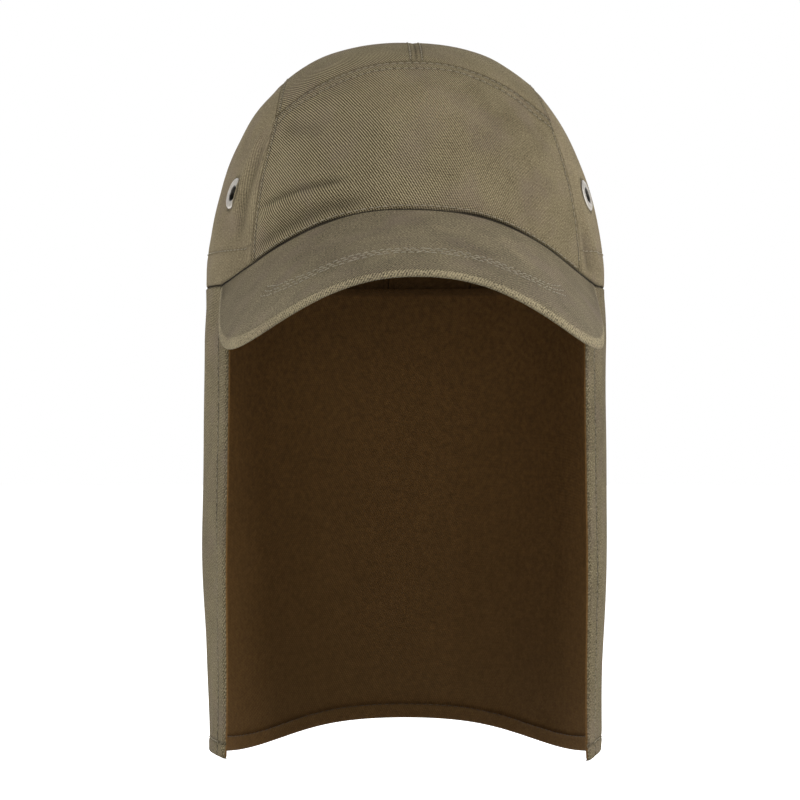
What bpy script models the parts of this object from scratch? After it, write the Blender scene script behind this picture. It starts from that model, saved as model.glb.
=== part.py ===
"""Sun cap with a long neck flap.

A crown of five cloth panels, a stiff curved peak, two metal vent eyelets and a cloth flap that hangs
from the crown's lower edge. The origin is the middle of the headband, level with the crown's lower
edge at the sides. +Z is up, and the peak points to -Y. Sizes are in metres and turns in degrees.

The crown is laid out on a flat disc: its rim is the crown's lower edge and its centre is the top.
A turn is the angle round the head from the front towards +X, and a rise is the share of the way from
the lower edge up to the top.
"""

import math
from collections import namedtuple

import bmesh
import bpy
import numpy as np
from mathutils import Matrix, Vector

# Crown
HEAD_HALF_WIDTH = 0.0860
HEAD_HALF_LENGTH = 0.1010
CROWN_HEIGHT = 0.1057
CROWN_WALL = 0.0015
CROWN_TURN = 5.5
SHOULDER_FULLNESS = 2.60
FRONT_FULLNESS = 0.12
DOME_FULLNESS = 1.84
PANEL_PUFF = 0.0010
SEAM_DIP = 0.0005
SEAM_DIP_WIDTH = 0.0040
CREASE_HEIGHT = 0.0020
CREASE_FADE = 0.15

# Peak
PEAK_LENGTH = 0.0630
PEAK_HALF_WIDTH = 0.0784
PEAK_SEAM_HEIGHT = 0.0268
PEAK_SLOPE = 21.8
PEAK_END_TURN = 66.0
PEAK_TURN = 1.7
PEAK_BEND_POWER = 2.27
PEAK_SQUARENESS = 3.4
PEAK_WALL = 0.0030
PEAK_END_WALL = 0.0016
PEAK_TAPER_SHARE = 0.12
PEAK_TRIM_SHARE = 0.012

# Neck flap
FLAP_LENGTH = 0.1985
FLAP_STAND_OUT = 0.0010
FLAP_HEM_DRAW_IN = 0.0030
FLAP_WALL = 0.0012
FLAP_HEM_WALL = 0.0024
FLAP_HEM_WIDTH = 0.0070
FLAP_TURN = 1.1
FLAP_TOP_OPENING_SHARE = 0.862
FLAP_HEM_OPENING_SHARE = 0.919
FLAP_WAVE_DEPTH = 0.0016
FLAP_SPREAD_SHARE = 0.12
FLAP_DRAW_SHARE = 0.5

# Eyelets
EYELET_RADIUS = 0.0067
EYELET_HOLE_RADIUS = 0.0030
EYELET_METAL = 0.0006
EYELET_CROWNING = 0.0005
EYELET_CUTTER_DEPTH = 0.012

# Gaps between pieces
SEAM_GAP = 0.0005
SEAT_GAP = 0.0004

# Faces along each piece
FRONT_COLUMNS = 24
SIDE_COLUMNS = 18
PANEL_ROWS = 12
PEAK_COLUMNS = 32
PEAK_ROWS = 8
FLAP_COLUMNS = 44
FLAP_ROWS = 12
EYELET_SIDES = 20

# Steps for slopes, for heights that are found by repeating, and for telling rows of points apart
SHARE_STEP = 0.001
HEIGHT_PASSES = 6
ROW_MARGIN = 0.00001
SHARP_EDGE_TURN = 40.0

SeamRow = namedtuple("SeamRow", "place turn rise")
CreaseRow = namedtuple("CreaseRow", "place start_across start_up end_across end_up width height")
BumpRow = namedtuple("BumpRow", "place turn width height")
EyeletRow = namedtuple("EyeletRow", "side across up")
Finish = namedtuple("Finish", "colour roughness metallic")

# The long seam between a side panel and the front and top panels, from the peak over to the back
SIDE_SEAM = (
    SeamRow("at the peak", 53.0, 0.0),
    SeamRow("up the front", 53.8, 0.20),
    SeamRow("front corner", 58.5, 0.42),
    SeamRow("over the side", 90.0, 0.58),
    SeamRow("down the back", 138.0, 0.40),
    SeamRow("back edge", 154.0, 0.0),
)
SIDE_SEAM_CORNERS = (2, 4)
FRONT_SEAM_RISE = 0.547
CENTRE_SEAM_BOW = 0.02

# Soft creases, in shares of the panel's width and height, and of the crease height
FRONT_CREASES = (
    CreaseRow("lower furrow", 0.03, 0.21, 0.34, 0.13, 0.026, -0.8),
    CreaseRow("lower ridge", 0.03, 0.32, 0.31, 0.20, 0.028, 0.9),
    CreaseRow("middle furrow", 0.03, 0.43, 0.29, 0.26, 0.026, -0.8),
    CreaseRow("upper furrow", 0.06, 0.81, 0.20, 0.60, 0.030, -0.5),
    CreaseRow("upper ridge", 0.05, 0.88, 0.30, 0.76, 0.034, 0.7),
)
SIDE_CREASES_LEFT = (
    CreaseRow("front furrow", 0.960, 0.80, 0.915, 0.24, 0.030, -0.8),
    CreaseRow("front ridge", 0.855, 0.78, 0.890, 0.40, 0.034, 0.7),
)
SIDE_CREASES_RIGHT = (
    CreaseRow("front furrow", 0.01, 0.34, 0.06, 0.08, 0.022, -0.5),
    CreaseRow("front ridge", 0.03, 0.44, 0.14, 0.04, 0.030, 0.8),
)

# Slow upright waves of the flap, in turns and shares of the wave depth, full at the hem
FLAP_WAVES = (
    BumpRow("left side", -100.0, 16.0, 0.8),
    BumpRow("left back", -140.0, 17.0, -0.9),
    BumpRow("right back", 145.0, 17.0, -0.8),
    BumpRow("right side", 104.0, 16.0, 0.9),
)

# Where the hem hangs lower than at the back, in turns and shares of the flap's length
HEM_DROPS = (
    BumpRow("left back quarter", -120.0, 28.0, 0.040),
    BumpRow("right back quarter", 120.0, 28.0, 0.040),
    BumpRow("right front corner", 60.0, 12.0, 0.010),
)

EYELETS = (
    EyeletRow("left", 0.172, 0.46),
    EyeletRow("right", 0.145, 0.475),
)

CLOTH = Finish((0.185, 0.150, 0.098, 1.0), 0.86, 0.0)
PEAK_CLOTH = Finish((0.165, 0.136, 0.096, 1.0), 0.84, 0.0)
FLAP_CLOTH = Finish((0.150, 0.122, 0.078, 1.0), 0.88, 0.0)
EYELET_METAL_FINISH = Finish((0.560, 0.530, 0.480, 1.0), 0.28, 1.0)

COLLECTION_NAME = "sun_cap"
CUTTER_COLLECTION_NAME = "cutters"


# Curves and grids

def smooth_step(value):
    """0 below 0, 1 above 1, and an S-shaped rise between."""
    held = np.clip(value, 0.0, 1.0)
    return held * held * (3.0 - 2.0 * held)


def path_through(points, places):
    """Positions on a smooth curve through the points. Place 2.5 is half way from point 2 to point 3."""
    points = np.asarray(points, float)
    padded = np.vstack([2 * points[0] - points[1], points, 2 * points[-1] - points[-2]])
    first = np.clip(np.floor(places).astype(int), 0, len(points) - 2)
    way = (places - first)[..., None]
    before, start, end, after = (padded[first + step] for step in range(4))
    leave = (end - before) / 2
    arrive = (after - start) / 2
    return (
        (2 * way**3 - 3 * way**2 + 1) * start
        + (way**3 - 2 * way**2 + way) * leave
        + (3 * way**2 - 2 * way**3) * end
        + (way**3 - way**2) * arrive
    )


def disc_position(turn, rise):
    """Place on the flat disc of a turn in degrees and a rise."""
    angle = np.radians(turn)
    reach = 1.0 - np.asarray(rise, float)
    return np.stack([reach * np.sin(angle), -reach * np.cos(angle)], axis=-1)


def patch_between(low, high, first, last, across, up):
    """Coons patch: a grid of positions inside four edge curves that meet at their ends."""
    along = across[..., None]
    rise = up[..., None]
    zero = np.zeros_like(across)
    one = np.ones_like(across)
    ruled_up = (1 - rise) * low(across) + rise * high(across)
    ruled_across = (1 - along) * first(up) + along * last(up)
    corners = (
        (1 - along) * (1 - rise) * low(zero)
        + along * (1 - rise) * low(one)
        + (1 - along) * rise * high(zero)
        + along * rise * high(one)
    )
    return ruled_up + ruled_across - corners


# Peak surface, which also sets the crown's lower edge and the flap's upper corners

def turned(x, y, turn):
    """A plan position turned about the head's middle, anticlockwise seen from above."""
    angle = math.radians(turn)
    return x * math.cos(angle) - y * math.sin(angle), x * math.sin(angle) + y * math.cos(angle)


def peak_bend_at_ends():
    """How far the peak bends down at its ends, so that it gets there just under the headband."""
    back = HEAD_HALF_LENGTH * (1.0 - math.cos(math.radians(PEAK_END_TURN)))
    return PEAK_SEAM_HEIGHT + SEAT_GAP + math.tan(math.radians(PEAK_SLOPE)) * back


def peak_top(x, y):
    """Height of the peak's upper face over a plan position: a sloping sheet bent down to both sides."""
    own_x, own_y = turned(x, y, -PEAK_TURN)
    end_x = HEAD_HALF_WIDTH * math.sin(math.radians(PEAK_END_TURN))
    slope = math.tan(math.radians(PEAK_SLOPE))
    bend = peak_bend_at_ends() * (np.abs(own_x) / end_x) ** PEAK_BEND_POWER
    return PEAK_SEAM_HEIGHT + slope * (own_y + HEAD_HALF_LENGTH) - bend


def peak_wall_at(shares):
    """Thickness of the peak at shares from its left to its right end, thinner where it runs out."""
    from_end = np.minimum(shares, 1 - shares)
    return PEAK_END_WALL + (PEAK_WALL - PEAK_END_WALL) * smooth_step(from_end / PEAK_TAPER_SHARE)


def peak_depth(x, y, shares):
    """Upright thickness of the peak, larger where the sheet is steep so that its wall stays the same."""
    own_x = np.abs(turned(x, y, -PEAK_TURN)[0])
    end_x = HEAD_HALF_WIDTH * math.sin(math.radians(PEAK_END_TURN))
    slope = math.tan(math.radians(PEAK_SLOPE))
    steep = peak_bend_at_ends() * PEAK_BEND_POWER / end_x * (own_x / end_x) ** (PEAK_BEND_POWER - 1)
    return peak_wall_at(shares) * np.sqrt(1.0 + slope**2 + steep**2)


def ring_at(height, turn):
    """Size of the crown's ring at a height, as a share of the headband."""
    shoulder = SHOULDER_FULLNESS + FRONT_FULLNESS * np.cos(np.radians(turn))
    share = np.clip(np.asarray(height) / CROWN_HEIGHT, 0.0, 1.0)
    return (1.0 - share**DOME_FULLNESS) ** (1.0 / shoulder)


def crown_edge_height(turn):
    """Height of the crown's lower edge: level with the peak's lower face in front, and level elsewhere."""
    angle = np.radians(turn)
    own_turn = np.abs((turn - PEAK_TURN + 180.0) % 360.0 - 180.0)
    shares = (1.0 - np.clip(own_turn / PEAK_END_TURN, 0.0, 1.0)) / 2.0
    height = np.zeros_like(angle)
    for _ in range(HEIGHT_PASSES):
        ring = ring_at(height, turn)
        x = HEAD_HALF_WIDTH * ring * np.sin(angle)
        y = -HEAD_HALF_LENGTH * ring * np.cos(angle)
        under = peak_top(x, y) - peak_depth(x, y, shares)
        height = np.where(own_turn < PEAK_END_TURN, np.maximum(under, 0.0), 0.0)
    return height


# Crown surface

def crown_point(disc):
    """Place in space of each disc position. Rings shrink as the cosine of the climb to the top."""
    reach = np.clip(np.hypot(disc[..., 0], disc[..., 1]), 1e-9, 1.0)
    turn = np.degrees(np.arctan2(disc[..., 0], -disc[..., 1])) + CROWN_TURN
    edge = crown_edge_height(turn)
    edge_rise = np.arccos(ring_at(edge, turn))
    climb = edge_rise + (math.pi / 2 - edge_rise) * (1.0 - reach)
    ring = np.cos(climb)
    shoulder = SHOULDER_FULLNESS + FRONT_FULLNESS * np.cos(np.radians(turn))
    height = CROWN_HEIGHT * (1.0 - ring**shoulder) ** (1.0 / DOME_FULLNESS)
    angle = np.radians(turn)
    return np.stack(
        [
            HEAD_HALF_WIDTH * ring * np.sin(angle),
            -HEAD_HALF_LENGTH * ring * np.cos(angle),
            height,
        ],
        axis=-1,
    )


def crease_lift(rows, across, up, width, height):
    """Height of soft creases, each a ridge or furrow along a straight way that fades at both ends."""
    lift = np.zeros_like(across)
    for row in rows:
        start = np.array([row.start_across * width, row.start_up * height])
        way = np.array([row.end_across * width, row.end_up * height]) - start
        length = np.hypot(*way)
        x = across * width - start[0]
        y = up * height - start[1]
        along = (x * way[0] + y * way[1]) / length**2
        aside = (x * way[1] - y * way[0]) / length
        fade_in = smooth_step((along + CREASE_FADE) / (2 * CREASE_FADE))
        fade_out = smooth_step((1 + CREASE_FADE - along) / (2 * CREASE_FADE))
        profile = np.exp(-((aside / (row.width * width)) ** 2))
        lift += row.height * CREASE_HEIGHT * fade_in * fade_out * profile
    return lift


class Panel:
    """One crown panel: a patch between four seam curves, lifted by puff, seam dips and creases."""

    def __init__(self, low, high, first, last, creases=()):
        self.edges = (low, high, first, last)
        self.creases = creases

    def base(self, across, up):
        return crown_point(patch_between(*self.edges, across, up))

    def spans(self):
        """Width at half height and height at half width."""
        way = np.linspace(0.0, 1.0, 21)
        middle = np.full_like(way, 0.5)
        row = self.base(way, middle)
        column = self.base(middle, way)
        return tuple(np.linalg.norm(np.diff(line, axis=0), axis=1).sum() for line in (row, column))

    def skin(self, across, up):
        """Outer face at grids of shares across and up, and its normals."""
        left, right = (np.clip(across + step, 0, 1) for step in (-SHARE_STEP, SHARE_STEP))
        below, above = (np.clip(up + step, 0, 1) for step in (-SHARE_STEP, SHARE_STEP))
        side = self.base(right, up) - self.base(left, up)
        rise = self.base(across, above) - self.base(across, below)
        normal = np.cross(side, rise)
        normal /= np.linalg.norm(normal, axis=-1, keepdims=True)
        width, height = self.spans()
        inner = np.clip(4 * across * (1 - across), 0, 1) * np.clip(4 * up * (1 - up), 0, 1)
        nearest = np.minimum(np.minimum(across, 1 - across) * width, np.minimum(up, 1 - up) * height)
        lift = PANEL_PUFF * inner - SEAM_DIP * np.exp(-((nearest / SEAM_DIP_WIDTH) ** 2))
        free = smooth_step(nearest / (2 * SEAM_DIP_WIDTH))
        lift += free * crease_lift(self.creases, across, up, width, height)
        return self.base(across, up) + lift[..., None] * normal, normal

    def grid(self, columns, rows):
        """Outer face as a grid of points, drawn in by half a seam gap all round."""
        along = np.linspace(0, 1, columns + 1)
        rise = np.linspace(0, 1, rows + 1)
        across, up = np.meshgrid(along, rise, indexing="ij")
        points, normals = self.skin(across, up)
        return draw_in(points, normals, SEAM_GAP / 2)


def draw_in(points, normals, inset):
    """Moves a grid's four borders inwards along the surface."""
    moved = points.copy()
    borders = (
        (np.s_[0, :], 1),
        (np.s_[-1, :], -1),
        (np.s_[:, 0], -1),
        (np.s_[:, -1], 1),
    )
    for border, side in borders:
        run = np.gradient(points[border], axis=0)
        run /= np.linalg.norm(run, axis=-1, keepdims=True)
        moved[border] += side * inset * np.cross(run, normals[border])
    return moved


def side_seam_disc(places, side):
    """Disc positions along the long side seam on side +1 or -1, where place 2 is its third row."""
    rows = [disc_position(side * row.turn, row.rise) for row in SIDE_SEAM]
    return path_through(rows, np.asarray(places, float))


def front_seam_disc(share):
    """Disc positions along the seam on top of the front panel, from left to right corner."""
    corner_left = side_seam_disc(SIDE_SEAM_CORNERS[0], -1)
    corner_right = side_seam_disc(SIDE_SEAM_CORNERS[0], 1)
    middle = disc_position(0.0, FRONT_SEAM_RISE)
    way = np.asarray(share, float)[..., None]
    chord = (1 - way) * corner_left + way * corner_right
    return chord + 4 * way * (1 - way) * (middle - (corner_left + corner_right) / 2)


def centre_seam_disc(share):
    """Disc positions along the seam of the two top panels, from the front panel to the back edge."""
    start = disc_position(0.0, FRONT_SEAM_RISE)
    end = disc_position(180.0, 0.0)
    way = np.asarray(share, float)[..., None]
    bow = CENTRE_SEAM_BOW * np.sin(math.pi * way) * np.array([1.0, 0.0])
    return (1 - way) * start + way * end + bow


def edge_disc(start_turn, end_turn):
    """Curve along the crown's lower edge between two turns."""
    return lambda share: disc_position(start_turn + (end_turn - start_turn) * share, np.zeros_like(share))


def front_panel():
    low_turn = SIDE_SEAM[0].turn
    corner = SIDE_SEAM_CORNERS[0]
    return Panel(
        edge_disc(-low_turn, low_turn),
        front_seam_disc,
        lambda share: side_seam_disc(corner * share, -1),
        lambda share: side_seam_disc(corner * share, 1),
        FRONT_CREASES,
    )


def side_panel(side, creases):
    """Side panel with its first edge at the front on side +1, and at the back on side -1."""
    front, back = SIDE_SEAM_CORNERS
    last = len(SIDE_SEAM) - 1
    low_turn = SIDE_SEAM[0].turn
    high_turn = SIDE_SEAM[-1].turn
    at_front = lambda share: side_seam_disc(front * share, side)
    at_back = lambda share: side_seam_disc(last + (back - last) * share, side)
    if side > 0:
        low = edge_disc(low_turn, high_turn)
        high = lambda share: side_seam_disc(front + (back - front) * share, side)
        return Panel(low, high, at_front, at_back, creases)
    low = edge_disc(-high_turn, -low_turn)
    high = lambda share: side_seam_disc(back + (front - back) * share, side)
    return Panel(low, high, at_back, at_front, creases)


def top_panel(side):
    """Top panel with its low edge at the front, running over to the back edge."""
    front = SIDE_SEAM_CORNERS[0]
    last = len(SIDE_SEAM) - 1
    high_turn = SIDE_SEAM[-1].turn
    outer = lambda share: side_seam_disc(front + (last - front) * share, side)
    if side > 0:
        low = lambda share: front_seam_disc(0.5 + share / 2)
        return Panel(low, edge_disc(180.0, high_turn), centre_seam_disc, outer)
    low = lambda share: front_seam_disc(share / 2)
    return Panel(low, edge_disc(-high_turn, -180.0), outer, centre_seam_disc)


# Peak and flap surfaces

def peak_outline(shares):
    """Plan positions round the peak's outer edge, evenly spaced from its left to its right end."""
    end_y = HEAD_HALF_LENGTH * math.cos(math.radians(PEAK_END_TURN))
    reach = HEAD_HALF_LENGTH + PEAK_LENGTH - end_y
    angle = np.linspace(-math.pi / 2, math.pi / 2, 721)
    power = 2.0 / PEAK_SQUARENESS
    x = PEAK_HALF_WIDTH * np.sign(angle) * np.abs(np.sin(angle)) ** power
    y = -end_y - reach * np.cos(angle) ** power
    way = np.concatenate([[0.0], np.cumsum(np.hypot(np.diff(x), np.diff(y)))])
    places = shares * way[-1]
    return np.stack([np.interp(places, way, x), np.interp(places, way, y)], axis=-1)


def peak_grid(columns, rows, depth_share):
    """Upper face of the peak at depth share 0 and lower face at 1, from its edge in to the crown."""
    shares = np.linspace(PEAK_TRIM_SHARE, 1 - PEAK_TRIM_SHARE, columns + 1)
    turn = PEAK_END_TURN * (2 * shares - 1) + PEAK_TURN
    angle = np.radians(turn)
    height = np.zeros_like(turn)
    for _ in range(HEIGHT_PASSES):
        ring = ring_at(height, turn)
        seam_x = (HEAD_HALF_WIDTH * ring + SEAT_GAP) * np.sin(angle)
        seam_y = -(HEAD_HALF_LENGTH * ring + SEAT_GAP) * np.cos(angle)
        height = peak_top(seam_x, seam_y) - depth_share * peak_depth(seam_x, seam_y, shares)
    outer = peak_outline(shares)
    edge_x, edge_y = turned(outer[:, 0], outer[:, 1], PEAK_TURN)
    way = np.linspace(0.0, 1.0, rows + 1)[None, :]
    x = edge_x[:, None] * (1 - way) + seam_x[:, None] * way
    y = edge_y[:, None] * (1 - way) + seam_y[:, None] * way
    z = peak_top(x, y) - depth_share * peak_depth(x, y, shares[:, None])
    return np.stack([x, y, z], axis=-1)


def bumps(rows, turn):
    """Sum of soft bumps round the head, each falling off over its width."""
    total = np.zeros_like(turn)
    for row in rows:
        away = (turn - row.turn + 180.0) % 360.0 - 180.0
        total += row.height * np.exp(-((away / row.width) ** 2))
    return total


def flap_half_width(drop):
    """Half width of the flap's ring, which fills out below the crown and draws in at the hem."""
    spread = smooth_step(drop / FLAP_SPREAD_SHARE)
    draw = smooth_step((drop - FLAP_DRAW_SHARE) / (1 - FLAP_DRAW_SHARE))
    return HEAD_HALF_WIDTH + FLAP_STAND_OUT * spread - FLAP_HEM_DRAW_IN * draw


def flap_front_turn(drop):
    """Turn of the flap's front edges from the front, where they leave open a share of the ring's width."""
    share = FLAP_TOP_OPENING_SHARE + (FLAP_HEM_OPENING_SHARE - FLAP_TOP_OPENING_SHARE) * drop**2
    return np.degrees(np.arcsin(share))


def flap_hem_share():
    """Width of the folded front hem as a share of the way round the flap."""
    middle = np.array(0.5)
    back_share = 1.0 - flap_front_turn(middle) / 180.0
    return FLAP_HEM_WIDTH / (math.pi * (flap_half_width(middle) + HEAD_HALF_LENGTH) * back_share)


def flap_grid(columns, rows):
    """Outer face of the flap, from its left front edge round the back to its right front edge."""
    hem = flap_hem_share()
    around = np.unique(np.concatenate([[hem, 1 - hem], np.linspace(0.0, 1.0, columns + 1)]))
    low = 1.0 - FLAP_HEM_WIDTH / FLAP_LENGTH
    down = np.unique(np.concatenate([[low], np.linspace(0.0, 1.0, rows + 1)]))
    share, drop = np.meshgrid(around, down, indexing="ij")
    front = flap_front_turn(drop)
    turn = FLAP_TURN - front - (360.0 - 2 * front) * share
    angle = np.radians(turn)
    wave = FLAP_WAVE_DEPTH * bumps(FLAP_WAVES, turn) * smooth_step(drop)
    x = (flap_half_width(drop) + wave) * np.sin(angle)
    y = -(HEAD_HALF_LENGTH + wave) * np.cos(angle)
    top = crown_edge_height(turn[:, :1]) - SEAT_GAP
    z = top - (FLAP_LENGTH * (1 + bumps(HEM_DROPS, turn)) + top) * drop
    return np.stack([x, y, z], axis=-1), share, drop


# Objects

def new_collection(name):
    collection = bpy.data.collections.new(name)
    bpy.context.scene.collection.children.link(collection)
    return collection


def new_material(name, finish):
    material = bpy.data.materials.new(name)
    material.use_nodes = True
    shader = material.node_tree.nodes["Principled BSDF"]
    shader.inputs["Base Color"].default_value = finish.colour
    shader.inputs["Roughness"].default_value = finish.roughness
    shader.inputs["Metallic"].default_value = finish.metallic
    material.diffuse_color = finish.colour
    return material


def sheet_object(name, points, finish, collection, weights=None):
    """Open sheet from a grid of points, facing out, with a weight for each point in the group "wall"."""
    columns, rows = points.shape[0] - 1, points.shape[1] - 1
    work = bmesh.new()
    layer = work.verts.layers.deform.verify()
    bmesh.ops.create_grid(work, x_segments=columns, y_segments=rows, size=0.5)
    ordered = sorted(work.verts, key=lambda vert: (round(vert.co.x, 6), round(vert.co.y, 6)))
    shares = np.ones(len(ordered)) if weights is None else weights.reshape(-1)
    for vert, place, share in zip(ordered, points.reshape(-1, 3), shares):
        vert.co = Vector(place)
        vert[layer][0] = float(share)
    mesh = bpy.data.meshes.new(name)
    work.to_mesh(mesh)
    work.free()
    mesh.shade_smooth()
    mesh.materials.append(new_material(name + "_finish", finish))
    sheet = bpy.data.objects.new(name, mesh)
    sheet.vertex_groups.new(name="wall")
    collection.objects.link(sheet)
    return sheet


def slab_object(name, top, bottom, finish, collection):
    """Solid between two grids of points, the upper one facing out."""
    columns, rows = top.shape[0] - 1, top.shape[1] - 1
    work = bmesh.new()
    bmesh.ops.create_grid(work, x_segments=columns, y_segments=rows, size=0.5)
    made = bmesh.ops.extrude_face_region(work, geom=work.faces[:])
    lifted = {item for item in made["geom"] if isinstance(item, bmesh.types.BMVert)}
    for chosen, points in ((lifted, top), (set(work.verts) - lifted, bottom)):
        ordered = sorted(chosen, key=lambda vert: (round(vert.co.x, 6), round(vert.co.y, 6)))
        for vert, place in zip(ordered, points.reshape(-1, 3)):
            vert.co = Vector(place)
    bmesh.ops.recalc_face_normals(work, faces=work.faces[:])
    mesh = bpy.data.meshes.new(name)
    work.to_mesh(mesh)
    work.free()
    mesh.shade_smooth()
    mesh.set_sharp_from_angle(angle=math.radians(SHARP_EDGE_TURN))
    mesh.materials.append(new_material(name + "_finish", finish))
    slab = bpy.data.objects.new(name, mesh)
    collection.objects.link(slab)
    return slab


def give_wall(sheet, wall, thinnest=None):
    """Gives an open sheet a wall that grows inwards, the thinnest at weight 0 and the wall at weight 1."""
    solidify = sheet.modifiers.new("wall", "SOLIDIFY")
    solidify.thickness = wall
    solidify.offset = -1.0
    solidify.use_even_offset = False
    if thinnest is not None:
        solidify.vertex_group = "wall"
        solidify.thickness_vertex_group = thinnest / wall


def eyelet_frame(panel, row):
    """Matrix at an eyelet's middle on the panel's outer face, with +Z out of the cloth."""
    across = np.array([[row.across if row.side == "right" else 1.0 - row.across]])
    up = np.array([[row.up]])
    point, normal = panel.skin(across, up)
    out = Vector(normal[0, 0])
    turn = Vector((0.0, 0.0, 1.0)).rotation_difference(out)
    return Matrix.Translation(Vector(point[0, 0])) @ turn.to_matrix().to_4x4()


def eyelet_profile():
    """Half section of an eyelet, running down its outer side: flange, barrel and washer as one ring."""
    bow = EYELET_RADIUS**2 / HEAD_HALF_WIDTH
    under = SEAT_GAP + bow
    inside = -CROWN_WALL - SEAT_GAP - bow
    barrel = EYELET_HOLE_RADIUS + EYELET_METAL
    crest = under + EYELET_METAL + EYELET_CROWNING
    middle = (EYELET_RADIUS + EYELET_HOLE_RADIUS) / 2
    return (
        (EYELET_HOLE_RADIUS, under),
        (EYELET_HOLE_RADIUS + EYELET_METAL / 2, crest - EYELET_METAL / 2),
        (middle, crest),
        (EYELET_RADIUS - EYELET_METAL / 2, under + EYELET_METAL),
        (EYELET_RADIUS, under),
        (barrel, under),
        (barrel, inside),
        (EYELET_RADIUS - EYELET_METAL, inside),
        (EYELET_RADIUS - EYELET_METAL, inside - EYELET_METAL),
        (EYELET_HOLE_RADIUS, inside - EYELET_METAL),
    )


def add_eyelet(name, frame, collection):
    profile = eyelet_profile()
    mesh = bpy.data.meshes.new(name)
    ends = [(index, (index + 1) % len(profile)) for index in range(len(profile))]
    mesh.from_pydata([(radius, 0.0, height) for radius, height in profile], ends, [])
    mesh.materials.append(new_material(name + "_finish", EYELET_METAL_FINISH))
    eyelet = bpy.data.objects.new(name, mesh)
    collection.objects.link(eyelet)
    screw = eyelet.modifiers.new("turn", "SCREW")
    screw.angle = math.tau
    screw.steps = EYELET_SIDES
    screw.render_steps = EYELET_SIDES
    screw.use_merge_vertices = True
    screw.merge_threshold = ROW_MARGIN
    screw.use_smooth_shade = True
    eyelet.matrix_world = frame
    return eyelet


def cut_eyelet_hole(panel_object, name, frame, cutters):
    """Cuts the eyelet's hole through a side panel, one seat gap wider than its barrel."""
    work = bmesh.new()
    radius = EYELET_HOLE_RADIUS + EYELET_METAL + SEAT_GAP
    bmesh.ops.create_cone(
        work,
        cap_ends=True,
        segments=EYELET_SIDES,
        radius1=radius,
        radius2=radius,
        depth=EYELET_CUTTER_DEPTH,
    )
    mesh = bpy.data.meshes.new(name)
    work.to_mesh(mesh)
    work.free()
    cutter = bpy.data.objects.new(name, mesh)
    cutters.objects.link(cutter)
    cutter.matrix_world = frame
    cutter.hide_render = True
    cutter.display_type = "WIRE"
    cut = panel_object.modifiers.new("eyelet_hole", "BOOLEAN")
    cut.operation = "DIFFERENCE"
    cut.solver = "EXACT"
    cut.object = cutter


def build_crown(parts, cutters):
    front = front_panel()
    front_object = sheet_object("front_panel", front.grid(FRONT_COLUMNS, PANEL_ROWS), CLOTH, parts)
    give_wall(front_object, CROWN_WALL)
    side_creases = {"left": SIDE_CREASES_LEFT, "right": SIDE_CREASES_RIGHT}
    for row in EYELETS:
        side = 1 if row.side == "right" else -1
        top_points = top_panel(side).grid(FRONT_COLUMNS // 2, SIDE_COLUMNS + PANEL_ROWS)
        top_object = sheet_object("top_panel_" + row.side, top_points, CLOTH, parts)
        give_wall(top_object, CROWN_WALL)
        panel = side_panel(side, side_creases[row.side])
        side_points = panel.grid(SIDE_COLUMNS, PANEL_ROWS)
        side_object = sheet_object("side_panel_" + row.side, side_points, CLOTH, parts)
        give_wall(side_object, CROWN_WALL)
        frame = eyelet_frame(panel, row)
        add_eyelet("eyelet_" + row.side, frame, parts)
        cut_eyelet_hole(side_object, "eyelet_cutter_" + row.side, frame, cutters)


def build_peak(parts):
    top, bottom = (peak_grid(PEAK_COLUMNS, PEAK_ROWS, depth_share) for depth_share in (0.0, 1.0))
    slab_object("peak", top, bottom, PEAK_CLOTH, parts)


def build_flap(parts):
    points, share, drop = flap_grid(FLAP_COLUMNS, FLAP_ROWS)
    low_hem = drop >= 1.0 - FLAP_HEM_WIDTH / FLAP_LENGTH - ROW_MARGIN
    side_hem = np.minimum(share, 1.0 - share) <= flap_hem_share() + ROW_MARGIN
    flap = sheet_object("neck_flap", points, FLAP_CLOTH, parts, np.where(low_hem | side_hem, 1.0, 0.0))
    give_wall(flap, FLAP_HEM_WALL, FLAP_WALL)


def main():
    for old in list(bpy.data.objects):
        bpy.data.objects.remove(old, do_unlink=True)
    parts = new_collection(COLLECTION_NAME)
    cutters = new_collection(CUTTER_COLLECTION_NAME)
    build_crown(parts, cutters)
    build_peak(parts)
    build_flap(parts)


if __name__ == "__main__":
    main()
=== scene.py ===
"""Sun cap with a neck flap, dressed for the camera.

The forms repeat the part's own formulas on finer grids, and add what shows close up: seam ditches, seam
allowances, topstitching, folded hems, soft creases, puckers and twill. Lengths are in metres and turns in
degrees. +Z is up, the peak points to -Y, and the origin is the middle of the headband.
"""

from __future__ import annotations

import logging
import math
import sys
from dataclasses import dataclass, field
from enum import Enum
from typing import Callable, Mapping, Sequence

import bpy
import numpy as np
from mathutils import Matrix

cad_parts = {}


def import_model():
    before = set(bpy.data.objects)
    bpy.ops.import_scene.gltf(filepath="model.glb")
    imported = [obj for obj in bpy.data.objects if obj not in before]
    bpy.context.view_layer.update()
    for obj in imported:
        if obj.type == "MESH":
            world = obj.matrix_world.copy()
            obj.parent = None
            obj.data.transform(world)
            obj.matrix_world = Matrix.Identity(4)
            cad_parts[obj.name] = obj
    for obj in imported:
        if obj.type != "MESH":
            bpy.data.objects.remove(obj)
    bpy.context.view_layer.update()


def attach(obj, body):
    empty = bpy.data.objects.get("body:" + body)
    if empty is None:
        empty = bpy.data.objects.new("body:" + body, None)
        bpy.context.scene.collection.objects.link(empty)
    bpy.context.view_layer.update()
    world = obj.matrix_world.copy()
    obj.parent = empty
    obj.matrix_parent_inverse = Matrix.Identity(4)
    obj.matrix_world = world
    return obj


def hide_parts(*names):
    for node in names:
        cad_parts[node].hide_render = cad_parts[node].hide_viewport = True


LOG = logging.getLogger("sun_cap")

Curve = Callable[[np.ndarray], np.ndarray]
Colour = tuple[float, float, float]


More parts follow.
